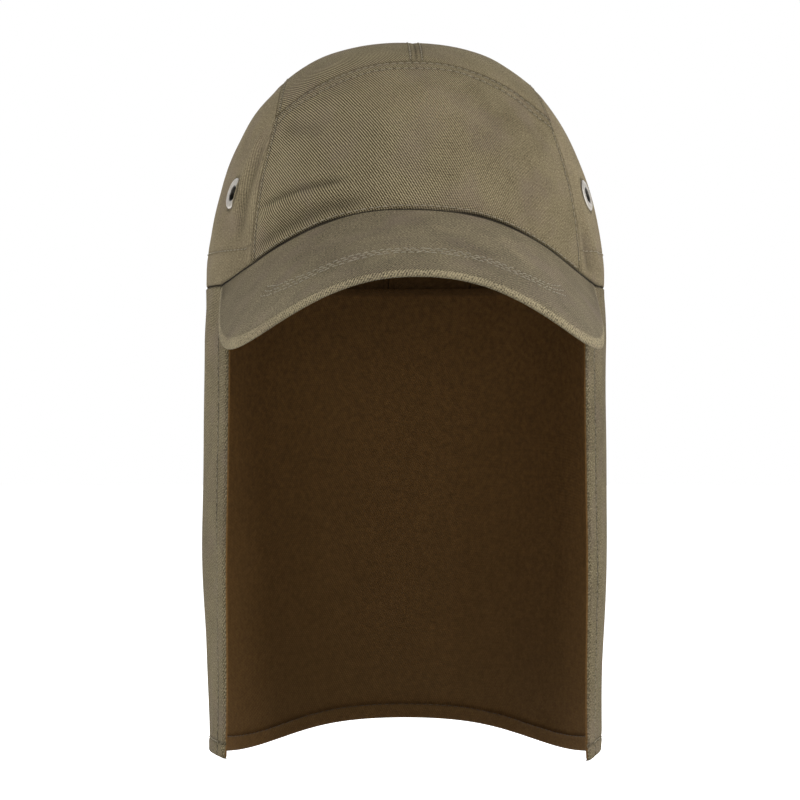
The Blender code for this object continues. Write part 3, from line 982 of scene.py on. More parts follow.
def wall_faces(shape: tuple[int, int], keep: np.ndarray | None) -> np.ndarray:
    """Quads of a closed wall between two grids: both faces, and a strip along every border and hole.

    Args:
        shape: Points across and up each grid. The inner grid's numbers follow the outer grid's.
        keep: Which quads are there, or None for all.

    Returns:
        Corner numbers, four to a row.
    """
    index = np.arange(shape[0] * shape[1]).reshape(shape)
    inside = index + index.size
    kept = np.ones((shape[0] - 1, shape[1] - 1), bool) if keep is None else keep
    outer = np.stack([index[:-1, :-1], index[1:, :-1], index[1:, 1:], index[:-1, 1:]], axis=-1)
    faces = [outer[kept], outer[kept][:, ::-1] + index.size]
    padded = np.pad(kept, 1)
    below, above = padded[1:-1, :-1], padded[1:-1, 1:]
    before, after = padded[:-1, 1:-1], padded[1:, 1:-1]
    across = (index[:-1], index[1:], inside[1:], inside[:-1])
    upwards = (index[:, :-1], index[:, 1:], inside[:, 1:], inside[:, :-1])
    for corners, here, flipped in (
        (across, above & ~below, True),
        (across, below & ~above, False),
        (upwards, after & ~before, False),
        (upwards, before & ~after, True),
    ):
        strip = np.stack([corner[here] for corner in corners], axis=-1)
        faces.append(strip[:, ::-1] if flipped else strip)
    return np.concatenate(faces)


def hang_cloth(name: str, cloth: Cloth, material: bpy.types.Material) -> bpy.types.Object:
    """Makes a closed wall of cloth, without the points that no face uses.

    Args:
        name: Name of the piece.
        cloth: Its grids.
        material: Its finish.

    Returns:
        The piece.
    """
    faces = wall_faces(cloth.outer.shape[:2], cloth.keep)
    used, renumbered = np.unique(faces, return_inverse=True)
    points = np.concatenate([cloth.outer.reshape(-1, 3), cloth.inner.reshape(-1, 3)])
    weave = np.tile(cloth.weave.reshape(-1, 2), (2, 1))
    count = cloth.groove.size
    values = {
        "groove": np.tile(cloth.groove.ravel(), 2)[used],
        "worn": np.tile(cloth.worn.ravel(), 2)[used],
        "inside": np.repeat([0.0, 1.0], count)[used],
    }
    return put_mesh(name, points[used], renumbered.reshape(faces.shape), weave[used], values, material)


# Finishes


class Wire:
    """A value on its way between shader nodes. Arithmetic on it adds Math nodes."""

    def __init__(self, bench: Bench, socket: bpy.types.NodeSocket) -> None:
        """Wraps one output socket of a bench's node."""
        self.bench = bench
        self.socket = socket

    def __add__(self, other: Wire | float) -> Wire:
        """self + other."""
        return self.bench.math("ADD", self, other)

    def __radd__(self, other: float) -> Wire:
        """other + self."""
        return self.bench.math("ADD", other, self)

    def __sub__(self, other: Wire | float) -> Wire:
        """self - other."""
        return self.bench.math("SUBTRACT", self, other)

    def __rsub__(self, other: float) -> Wire:
        """other - self."""
        return self.bench.math("SUBTRACT", other, self)

    def __mul__(self, other: Wire | float) -> Wire:
        """self * other."""
        return self.bench.math("MULTIPLY", self, other)

    def __rmul__(self, other: float) -> Wire:
        """other * self."""
        return self.bench.math("MULTIPLY", other, self)


def tinted(colour: Colour, factor: float) -> tuple[float, ...]:
    """A colour with each part times a factor, with full alpha."""
    return (*(factor * part for part in colour), 1.0)


class Bench:
    """Node workbench of one material or world."""

    def __init__(self, owner: bpy.types.Material | bpy.types.World, shader: str = "Principled BSDF") -> None:
        """Gives a new material or world its nodes.

        Args:
            owner: The material or world.
            shader: Name of its shader node.
        """
        self.owner = owner
        self.owner.use_nodes = True
        self.tree = owner.node_tree
        self.shader = self.tree.nodes[shader]

    def node(
        self,
        kind: str,
        settings: Mapping[str, object] | None = None,
        sockets: Mapping[str | int, object] | None = None,
    ) -> bpy.types.Node:
        """Adds one node: its settings first, then the values or links of its sockets.

        Args:
            kind: The node's type.
            settings: Properties of the node.
            sockets: Values or wires by socket name or number.

        Returns:
            The node.
        """
        node = self.tree.nodes.new(kind)
        for word, value in (settings or {}).items():
            setattr(node, word, value)
        for word, value in (sockets or {}).items():
            self.plug(node.inputs[word], value)
        return node

    def plug(self, socket: bpy.types.NodeSocket, value: object) -> None:
        """Links a wire to a socket, or sets the socket's own value."""
        if isinstance(value, Wire):
            self.tree.links.new(value.socket, socket)
        else:
            socket.default_value = value

    def math(self, operation: str, *values: Wire | float) -> Wire:
        """A Math node's result."""
        node = self.node("ShaderNodeMath", {"operation": operation}, dict(enumerate(values)))
        return Wire(self, node.outputs[0])

    def sine(self, value: Wire) -> Wire:
        """Sine of a wire, from 0 to 1."""
        return self.math("SINE", value) * 0.5 + 0.5

    def span(self, value: Wire, low: float, high: float) -> Wire:
        """A wire's place between two values, held between 0 and 1."""
        sockets = {"Value": value, "From Min": low, "From Max": high}
        return Wire(self, self.node("ShaderNodeMapRange", {"clamp": True}, sockets).outputs["Result"])

    def mix(
        self, share: Wire | float, first: Wire | Sequence[float], second: Wire | Sequence[float]
    ) -> Wire:
        """A colour between two colours."""
        node = self.node("ShaderNodeMix", {"data_type": "RGBA"}, {0: share, 6: first, 7: second})
        return Wire(self, node.outputs[2])

    def weave(self) -> tuple[Wire, Wire, Wire]:
        """The piece's own weave distances: the vector, and its parts along and up."""
        vector = Wire(self, self.node("ShaderNodeUVMap", {"uv_map": "weave"}).outputs["UV"])
        return vector, *self.parts(vector)[:2]

    def parts(self, vector: Wire) -> list[Wire]:
        """The three parts of a vector."""
        node = self.node("ShaderNodeSeparateXYZ", None, {0: vector})
        return [Wire(self, output) for output in node.outputs]

    def place(self) -> Wire:
        """Object coordinates."""
        return Wire(self, self.node("ShaderNodeTexCoord").outputs["Object"])

    def value(self, word: str) -> Wire:
        """A number that the mesh carries under a name."""
        return Wire(self, self.node("ShaderNodeAttribute", {"attribute_name": word}).outputs["Fac"])

    def noise(self, vector: Wire, scale: float, detail: float = 2.0, roughness: float = 0.5) -> Wire:
        """Soft noise from 0 to 1."""
        sockets = {"Vector": vector, "Scale": scale, "Detail": detail, "Roughness": roughness}
        return Wire(self, self.node("ShaderNodeTexNoise", None, sockets).outputs["Fac"])

    def bump(self, height: Wire, distance: float, strength: float = 1.0) -> Wire:
        """A normal from heights."""
        sockets = {"Height": height, "Distance": distance, "Strength": strength}
        return Wire(self, self.node("ShaderNodeBump", None, sockets).outputs["Normal"])

    def dress(self, sockets: Mapping[str, object]) -> bpy.types.Material | bpy.types.World:
        """Sets or links the shader's sockets.

        Args:
            sockets: Values or wires by socket name.

        Returns:
            The material or world.
        """
        for word, value in sockets.items():
            self.plug(self.shader.inputs[word], value)
        return self.owner


@dataclass(frozen=True)
class TwillFinish:
    """Cotton twill: ribs broken by the yarns, paler at edges from rubbing and a painted highlight, painted
    shade in seams.
    """

    name: str
    colour: Colour
    faded: Colour
    deep: Colour
    # Painted shade colour of the inner face
    inside: Colour
    rosy: Colour = (0.215, 0.160, 0.130)
    pitch: float = 0.00093
    lean: float = 30.0
    relief: float = 0.00024
    contrast: float = 2.30
    grain: float = 0.85
    mottle: float = 0.16
    wear: float = 0.06
    edge_contrast: float = -0.7
    lining_contrast: float = 0.30

    def material(self) -> bpy.types.Material:
        """The finish's nodes.

        The rib is the sine of 2 pi (u cos lean + v sin lean) / pitch, shaken by noise, and a finer yarn
        crosses it. Colour goes from deep to plain to pale by rib, noise and edges, where real rubbing and a
        painted highlight lighten it. Painted shade darkens the grooves, and the inner face gets a painted
        shade colour that is lighter towards the top.

        Returns:
            The material.
        """
        bench = Bench(bpy.data.materials.new(self.name))
        vector, u, v = bench.weave()
        place = bench.place()
        across, _, height = bench.parts(place)
        lean = math.radians(self.lean)
        shake = bench.noise(vector, 190.0, 2.0) - 0.5
        fine = bench.noise(vector, 2400.0, 1.0)
        turns = 2 * math.pi / self.pitch
        slant = u * (turns * math.cos(lean)) + v * (turns * math.sin(lean)) + shake * 2.4
        rib = bench.sine(slant)
        crossing = v * (1.3 * turns * math.cos(lean)) - u * (1.3 * turns * math.sin(lean))
        yarn = bench.sine(crossing + slant * 0.5)
        thread = rib * 0.56 + yarn * 0.32 + fine * 0.24
        groove = bench.value("groove")
        worn = bench.value("worn")
        hidden = bench.value("inside")
        broad = bench.noise(place, 24.0, 3.0, 0.55)
        patch = bench.noise(place, 95.0, 2.0, 0.6)
        tone = (broad - 0.5) * (2.2 * self.mottle) + (patch - 0.5) * (1.1 * self.mottle)
        plain = bench.span(bench.noise(place, 17.0, 2.0) * 0.06 + across, 0.085, -0.01) * 0.6 + 0.4
        plain = plain * (worn * self.edge_contrast + 1.0)
        tone = tone + (thread - 0.56) * (plain * self.contrast)
        tone = tone + (bench.noise(vector, 1250.0, 1.5) - 0.5) * self.grain
        # Paler near edges: real rubbing plus a painted highlight, besides random tone
        lighter = bench.span(tone + worn * self.wear, 0.0, 0.5)
        darker = bench.span(0.0 - tone, 0.0, 0.5)
        cloth = bench.mix(lighter, (*self.colour, 1.0), (*self.faded, 1.0))
        cloth = bench.mix(darker, cloth, (*self.deep, 1.0))
        blush = bench.span(bench.noise(place, 60.0, 2.0), 0.48, 0.72) * 0.30
        cloth = bench.mix(blush, cloth, (*self.rosy, 1.0))
        # Painted shade: seams, stitch grooves and creases darkened
        cloth = bench.mix(groove * 0.62, cloth, tinted(self.deep, 0.3))
        # Painted shade on the inner face, made lighter towards the top as painted light
        upper = bench.span(height, -0.20, 0.0)
        painted_shade_inside = bench.mix(upper, tinted(self.inside, 0.95), tinted(self.inside, 1.85))
        painted_shade_inside = bench.mix(darker * self.lining_contrast, painted_shade_inside, tinted(self.inside, 0.30))
        painted_shade_inside = bench.mix(lighter * self.lining_contrast, painted_shade_inside, tinted(self.inside, 2.2))
        fleece = bench.span(bench.noise(place, 430.0, 3.0, 0.7), 0.34, 0.66)
        painted_shade_inside = bench.mix(fleece * 0.45, painted_shade_inside, tinted(self.inside, 0.45))
        # Darker painted shade in the grooves of the inner face
        painted_shade_inside = bench.mix(groove * 0.3, painted_shade_inside, tinted(self.inside, 0.15))
        colour = bench.mix(hidden, cloth, painted_shade_inside)
        return bench.dress(
            {
                "Base Color": colour,
                "Roughness": 0.80 + fine * 0.12,
                "Specular IOR Level": 0.12,
                "Normal": bench.bump(thread, self.relief),
            }
        )


@dataclass(frozen=True)
class ThreadFinish:
    """Twisted sewing thread."""

    name: str
    colour: Colour
    pitch_along: float = 0.0005
    pitch_round: float = 0.0013

    def material(self) -> bpy.types.Material:
        """Light and dark by the twist: sine of 2 pi (way along / its pitch + way round / its pitch).

        Returns:
            The material.
        """
        bench = Bench(bpy.data.materials.new(self.name))
        _, u, v = bench.weave()
        twist = bench.sine(u * (2 * math.pi / self.pitch_along) + v * (2 * math.pi / self.pitch_round))
        dark = tuple(0.62 * part for part in self.colour)
        shade = twist * 0.5 + bench.noise(bench.place(), 180.0, 2.0) * 0.5
        return bench.dress(
            {
                "Base Color": bench.mix(shade, (*dark, 1.0), (*self.colour, 1.0)),
                "Roughness": 0.62,
                "Specular IOR Level": 0.3,
                "Normal": bench.bump(twist, 0.00008),
            }
        )


@dataclass(frozen=True)
class MetalFinish:
    """Bright plated metal with fine scratches and dull patches."""

    name: str
    colour: Colour
    dull: Colour
    roughness: float = 0.38

    def material(self) -> bpy.types.Material:
        """Colour and roughness vary with patchy noise, a fine noise gives the scratches, and painted shade
        darkens the flange's rim, the barrel and the hole.

        Returns:
            The material.
        """
        bench = Bench(bpy.data.materials.new(self.name))
        place = bench.place()
        patch = bench.noise(place, 420.0, 3.0)
        scratch = bench.noise(place, 2600.0, 2.0)
        plated = bench.mix(bench.span(patch, 0.45, 0.8), tinted(self.colour, 1.0), tinted(self.dull, 1.0))
        return bench.dress(
            {
                # Painted shade where the mesh's groove values say so
                "Base Color": bench.mix(bench.value("groove"), plated, tinted(self.dull, 0.08)),
                "Metallic": 1.0,
                "Roughness": self.roughness + patch * 0.16,
                "Normal": bench.bump(scratch, 0.00003),
            }
        )


@dataclass(frozen=True)
class FloorFinish:
    """Plain pale studio floor."""

    name: str = "studio_floor"
    colour: Colour = (0.93, 0.93, 0.93)
    glow: float = 1.0

    def material(self) -> bpy.types.Material:
        """A matt pale colour that glows a little, so that it stays even to its far edge.

        Returns:
            The material.
        """
        bench = Bench(bpy.data.materials.new(self.name))
        return bench.dress(
            {
                "Base Color": (*self.colour, 1.0),
                "Roughness": 0.95,
                "Emission Color": (1.0, 1.0, 1.0, 1.0),
                "Emission Strength": self.glow,
            }
        )


# Sub-assemblies


@dataclass
class Crown:
    """Five panels, their topstitching and the two eyelets."""

    form: CrownForm
    finish: TwillFinish
    # A lighter copy of the crown twill for the side panels, as painted light
    side_finish: TwillFinish
    thread: Thread
    thread_finish: ThreadFinish
    plain_seam: Edge = Edge(ditch=0.00015, reach=0.0014)
    stitched_seam: Edge = Edge(ditch=0.00015, reach=0.0011, ridge=0.00010, rows=(0.0024,))
    arc_seam: Edge = Edge(ditch=0.0003, reach=0.0011, ridge=0.00030, rows=(0.0022, 0.0068))
    lower_edge: Edge = Edge(ditch=0.0001, reach=0.0010)
    band_row: float = 0.0140
    front_creases: tuple[Crease, ...] = (
        Crease((0.03, 0.165), (0.34, 0.110), 0.018, -0.0010),
        Crease((0.03, 0.290), (0.285, 0.185), 0.026, 0.0016),
        Crease((0.03, 0.400), (0.275, 0.255), 0.011, -0.0012),
        Crease((0.06, 0.81), (0.20, 0.60), 0.024, -0.0005),
        Crease((0.05, 0.88), (0.30, 0.76), 0.030, 0.0011),
    )
    left_creases: tuple[Crease, ...] = (
        Crease((0.955, 0.80), (0.920, 0.28), 0.024, -0.0009),
        Crease((0.875, 0.78), (0.885, 0.34), 0.030, 0.0014),
    )
    right_creases: tuple[Crease, ...] = (
        Crease((0.01, 0.34), (0.06, 0.08), 0.022, -0.0010),
        Crease((0.03, 0.44), (0.14, 0.04), 0.030, 0.0016),
    )
    left_eyelet: tuple[float, float] = (1 - 0.172, 0.46)
    right_eyelet: tuple[float, float] = (0.145, 0.475)

    def front_panel(self) -> Panel:
        """The wide panel above the peak.

        Returns:
            The panel.
        """
        low = self.form.seam_turns[0]
        corner = self.form.front_corner
        return Panel(
            "front_panel",
            self.form,
            self.form.edge(-low, low),
            self.form.front_seam,
            self.form.side_run(Side.LEFT, 0, corner),
            self.form.side_run(Side.RIGHT, 0, corner),
            (self.lower_edge, self.arc_seam, self.stitched_seam, self.stitched_seam),
            170,
            120,
            self.front_creases,
        )

    def side_panel(self, side: Side) -> Panel:
        """A side panel. It runs front to back on the right, and back to front on the left.

        Args:
            side: Which side.

        Returns:
            The panel.
        """
        front, back = self.form.front_corner, self.form.back_corner
        last = len(self.form.seam_turns) - 1
        low, high = self.form.seam_turns[0], self.form.seam_turns[-1]
        at_front = self.form.side_run(side, 0, front)
        at_back = self.form.side_run(side, last, back)
        if side is Side.RIGHT:
            edge = self.form.edge(low, high)
            over = self.form.side_run(side, front, back)
            ends = (at_front, at_back)
        else:
            edge = self.form.edge(-high, -low)
            over = self.form.side_run(side, back, front)
            ends = (at_back, at_front)
        return Panel(
            "side_panel_" + side.word,
            self.form,
            edge,
            over,
            *ends,
            (self.lower_edge, self.plain_seam, self.plain_seam, self.plain_seam),
            150,
            110,
            self.right_creases if side is Side.RIGHT else self.left_creases,
            puff=0.0001,
            band_row=self.band_row,
            eyelet=self.right_eyelet if side is Side.RIGHT else self.left_eyelet,
            uneven=Unevenness(seed=23 if side is Side.RIGHT else 29),
        )

    def top_panel(self, side: Side) -> Panel:
        """A top panel, from the front panel over to the back edge.

        Args:
            side: Which side.

        Returns:
            The panel.
        """
        front = self.form.front_corner
        last = len(self.form.seam_turns) - 1
        high = self.form.seam_turns[-1]
        outer = self.form.side_run(side, front, last)
        if side is Side.RIGHT:
            curves = (
                lambda share: self.form.front_seam(0.5 + share / 2),
                self.form.edge(180.0, high),
                self.form.centre_seam,
                outer,
            )
        else:
            curves = (
                lambda share: self.form.front_seam(share / 2),
                self.form.edge(-high, -180.0),
                outer,
                self.form.centre_seam,
            )
        return Panel(
            "top_panel_" + side.word,
            self.form,
            *curves,
            (self.plain_seam, self.lower_edge, self.stitched_seam, self.stitched_seam),
            90,
            210,
            puff=0.0004,
            uneven=Unevenness(seed=37 if side is Side.RIGHT else 41, height=0.00012),
        )

    def rows(self, panels: Mapping[str, Panel]) -> list[StitchRow]:
        """Every row of topstitching on the crown.

        Args:
            panels: The panels by name.

        Returns:
            The rows.
        """
        front = panels["front_panel"]
        beside = self.stitched_seam.rows[0]
        rows = [front.row_from("high", row, 0.02, 0.98) for row in self.arc_seam.rows]
        rows += [front.row_from(border, beside, 0.14, 0.98) for border in ("first", "last")]
        rows.append(front.row_above_peak(0.0015, 0.02, 0.98))
        for side in Side:
            top = panels["top_panel_" + side.word]
            borders = ("first", "last") if side is Side.RIGHT else ("last", "first")
            rows += [top.row_from(border, beside, 0.01, 0.99) for border in borders]
            rows.append(top.row_from("high", self.band_row, 0.02, 0.98))
            flank = panels["side_panel_" + side.word]
            rows.append(flank.row_from("low", self.band_row, 0.02, 0.98))
        return rows

    def build(self) -> dict[str, bpy.types.Object]:
        """Builds the panels, the stitching and the eyelets.

        Returns:
            The pieces by the node that each stands for, and the stitching under "stitching".
        """
        panels = {"front_panel": self.front_panel()}
        for side in Side:
            for panel in (self.side_panel(side), self.top_panel(side)):
                panels[panel.name] = panel
        plain, lit_side_cloth = self.finish.material(), self.side_finish.material()
        pieces = {
            name: hang_cloth(name + "_cloth", panel.cloth(), lit_side_cloth if "side" in name else plain)
            for name, panel in panels.items()
        }
        metal = MetalFinish("plated_metal", (0.88, 0.83, 0.76), (0.60, 0.55, 0.48)).material()
        for side in Side:
            middle, out = panels["side_panel_" + side.word].eyelet_place()
            pieces["eyelet_" + side.word] = Eyelet(side).build(middle, out, metal)
        pieces["stitching"] = self.thread.sew("crown_stitching", self.rows(panels), self.thread_finish)
        return pieces


@dataclass(frozen=True)
class Eyelet:
    """A vent eyelet: domed flange, barrel through the cloth and washer inside, as one turned ring."""

    side: Side
    radius: float = 0.0067
    hole: float = 0.0030
    barrel: float = 0.0037
    rise: float = 0.00045
    crown: float = 0.0010
    sink: float = 0.0028
    sides: int = 56

    def build(self, middle: np.ndarray, out: np.ndarray, metal: bpy.types.Material) -> bpy.types.Object:
        """Turns the half section round the way out of the cloth.

        A ring's point is middle + radius (cos a * e1 + sin a * e2) + height * out.

        Args:
            middle: Middle of the eyelet on the cloth.
            out: Way out of the cloth.
            metal: The finish.

        Returns:
            The piece.
        """
        bend = np.linspace(math.pi, 0.0, 11)
        centre = (self.radius + self.hole) / 2
        half = (self.radius - self.hole) / 2
        dome_r = centre + half * np.cos(bend)
        dome_h = self.rise + (self.crown - self.rise) * np.sin(bend) ** 0.7
        under, low = self.rise - 0.0003, -self.sink
        # Radius and height of the corners below the dome: flange, barrel, washer
        corners = np.array(
            [
                (self.radius - 0.0002, under),
                (self.barrel, under),
                (self.barrel, low),
                (self.radius - 0.0006, low),
                (self.radius - 0.0005, low - 0.0003),
                (self.radius - 0.0009, low - 0.0006),
                (self.hole, low - 0.0006),
            ]
        )
        radii = np.concatenate([dome_r, corners[:, 0]])
        heights = np.concatenate([dome_h, corners[:, 1]])
        aside = unit(np.cross(np.array([0.0, 0.0, 1.0]), out))
        over = np.cross(out, aside)
        angle = np.arange(self.sides) * 2 * math.pi / self.sides
        ring = np.cos(angle)[:, None] * aside + np.sin(angle)[:, None] * over
        points = middle + radii[:, None, None] * ring + heights[:, None, None] * out
        index = np.arange(points.shape[0] * self.sides).reshape(points.shape[0], self.sides)
        after = np.roll(index, -1, axis=1)
        below, below_after = np.roll(index, -1, axis=0), np.roll(after, -1, axis=0)
        faces = np.stack([index, below, below_after, after], axis=-1).reshape(-1, 4)
        uv = np.stack(np.broadcast_arrays(heights[:, None], (angle * self.radius)[None, :]), axis=-1)
        # Painted shade: a dark ring at the flange's rim, and darkness down the barrel and in the hole
        rim = smooth_step((radii - self.radius + 0.0004) / 0.0003) * 0.6
        in_barrel = smooth_step((0.0002 - heights) / 0.0006)
        in_hole = smooth_step((self.barrel - radii) / 0.0005)
        values = {"groove": np.repeat(np.maximum(np.maximum(rim, in_barrel), in_hole), self.sides)}
        name = f"eyelet_{self.side.word}_metal"
        return put_mesh(name, points.reshape(-1, 3), faces, uv.reshape(-1, 2), values, metal)


@dataclass
class Peak:
    """The stiff peak: cloth over a board, rolled round its edge, with rows of topstitching."""

    form: PeakForm
    finish: TwillFinish
    thread: Thread
    thread_finish: ThreadFinish
    columns: int = 300
    rows: int = 116
    roll_steps: int = 11
    row_distances: tuple[float, ...] = (0.0187, 0.0210, 0.0233)
    row_start: float = 0.245
    row_shade: float = 0.16
    band: float = 0.0006
    band_groove: float = 0.00012
    band_groove_width: float = 0.0006
    band_shade: float = 0.22
    wobble: float = 0.00015
    around: float = 0.29
    groove: float = 0.00016
    groove_width: float = 0.0007
    shade_width: float = 0.0005
    crumple: float = 0.00007
    crumple_width: float = 0.0036
    seam_inset: float = 0.0012
    end_trim: float = 0.006
    uneven: Unevenness = field(default_factory=lambda: Unevenness(seed=53, height=0.00018))

    def spans(self, shares: np.ndarray) -> tuple[np.ndarray, np.ndarray, np.ndarray]:
        """Straight ways from the outer edge to the seam.

        Args:
            shares: Shares from the left to the right end.

        Returns:
            Plan positions on the edge, those on the seam, and the distance between them.
        """
        outer = self.form.outline(shares)
        edge = np.stack(self.form.turned(outer[..., 0], outer[..., 1], self.form.turn), axis=-1)
        seam = self.form.seam(shares, self.seam_inset)
        return edge, seam, np.hypot(seam[..., 0] - edge[..., 0], seam[..., 1] - edge[..., 1])

    def face(
        self, shares: np.ndarray, distance: np.ndarray, side: np.ndarray
    ) -> tuple[np.ndarray, np.ndarray]:
        """Positions on the peak by share round it, distance in from its edge, and side.

        A column runs straight from the outline to the seam. Height is the middle of the sheet plus
        side * half its depth, less the grooves of the topstitching on the upper face.

        Args:
            shares: Shares from the left to the right end.
            distance: Distances in from the edge.
            side: 1 on the upper face, -1 on the lower face, and between them round the edge.

        Returns:
            Positions and painted shade from 0 to 1 in the grooves and along the crown's seam.
        """
        edge, seam, length = self.spans(shares)
        way = (distance / length)[..., None]
        x, y = np.moveaxis(edge * (1 - way) + seam * way, -1, 0)
        depth = self.form.depth(x, y, shares)
        lift = np.zeros_like(x)
        groove = np.zeros_like(x)
        sewn = smooth_step((np.minimum(shares, 1 - shares) - self.row_start) / 0.03)
        for row in self.row_distances:
            lift = lift - self.groove * sewn * hump(distance - row, self.groove_width)
            # Painted shade in the stitch grooves
            groove = np.maximum(groove, self.row_shade * sewn * hump(distance - row, self.shade_width))
        run = shares * self.around
        crumple = np.sin(2 * math.pi * run / 0.0047 + 2 * np.sin(run / 0.0031) + distance / 0.0006)
        near_rows = sewn * hump(distance - self.row_distances[1], self.crumple_width)
        past_band = distance - self.band - self.band_groove_width
        lift = lift + self.crumple * crumple * near_rows
        lift = lift - self.band_groove * hump(past_band, self.band_groove_width)
        # Painted shade in the groove behind the edge band
        groove = np.maximum(groove, self.band_shade * hump(past_band, self.shade_width))
        on_top = smooth_step(side)
        flat = np.stack([x, y, np.zeros_like(x)], axis=-1)
        free = smooth_step(distance / 0.006)
        lift = on_top * (lift + free * self.uneven.lift(flat)) - (1 - on_top) * lift * 0.6
        # Painted shadow along the seam where the peak meets the crown
        groove = np.maximum(on_top * groove, 2.2 * hump(length - self.seam_inset - distance, 0.0006))
        z = self.form.top(x, y) - depth * (1 - side) / 2 + lift
        return np.stack([x, y, z], axis=-1), groove

    def cloth(self) -> tuple[np.ndarray, ...]:
        """The whole surface as one grid: round the peak, and from the seam over the edge and back under.

        Returns:
            Positions, weave distances, painted shade in the grooves, and the band along the edge that is
            paler from real rubbing plus a painted highlight.
        """
        shares = self.end_trim + (1 - 2 * self.end_trim) * graded(self.columns, 0.5)[:, None]
        length = self.spans(shares[:, 0])[2][:, None]
        radius = np.minimum(self.form.wall / 2, 0.45 * length)
        inward = np.linspace(1.0, 0.0, self.rows + 1)[None, :] ** 1.15
        flat = radius + (length - radius) * inward
        bend = np.linspace(0.0, math.pi, self.roll_steps + 1)[1:-1][None, :]
        round_it = radius * (1 - np.sin(bend))
        distance = np.concatenate([flat, round_it, flat[:, ::-1]], axis=1)
        sides = np.concatenate([np.ones_like(flat), np.cos(bend) + 0 * radius, -np.ones_like(flat)], axis=1)
        points, groove = self.face(shares + 0 * distance, distance, sides)
        u = run_length(points, 0)
        v = run_length(points, 1)
        # The band along the edge is paler: real rubbing plus a painted highlight
        worn = 1.0 - smooth_step((distance - self.band) / 0.0008)
        return points, np.stack([u - u[self.columns // 2], v], axis=-1), groove, worn

    def build(self) -> dict[str, bpy.types.Object]:
        """Builds the peak and its stitching.

        Returns:
            The peak under its node's name and its stitching under "stitching".
        """
        points, weave, groove, worn = self.cloth()
        index, walls = ring_quads(*points.shape[:2])
        half = index.shape[1] // 2
        pairs = np.stack([index[:, :half], index[:, ::-1][:, :half]], axis=-1)
        caps = []
        for row, flipped in ((0, True), (-1, False)):
            pair = pairs[row]
            strip = np.stack([pair[:-1, 0], pair[1:, 0], pair[1:, 1], pair[:-1, 1]], axis=-1)
            caps.append(strip[:, ::-1] if flipped else strip)
        faces = np.concatenate([walls, *caps])
        values = {"groove": groove.ravel(), "worn": worn.ravel(), "inside": np.zeros(index.size)}
        piece = put_mesh(
            "peak_cloth", points.reshape(-1, 3), faces, weave.reshape(-1, 2), values, self.finish.material()
        )
        rows = [self.row(distance) for distance in self.row_distances]
        stitching = self.thread.sew("peak_stitching", rows, self.thread_finish)
        return {"peak": piece, "stitching": stitching}

    def row(self, distance: float) -> StitchRow:
        """A row of topstitching at a distance in from the edge.

        Args:
            distance: Distance in from the edge.

        Returns:
            The row on the upper face, with normals from the steps along and across it.
        """
        shares = np.linspace(self.row_start + 0.02, 0.98 - self.row_start, 400)
        run = 2 * math.pi * (shares * self.around + 7.3 * distance / 0.002)
        away = distance + self.wobble * (np.sin(run / 0.019) + 0.7 * np.sin(run / 0.0083))
        points, _ = self.face(shares, away, np.ones_like(shares))
        inner, _ = self.face(shares, away + 0.001, np.ones_like(shares))
        normals = unit(np.cross(np.gradient(points, axis=0), inner - points))
        normals = normals * np.sign(normals[:, 2:3])
        return StitchRow(points, normals)


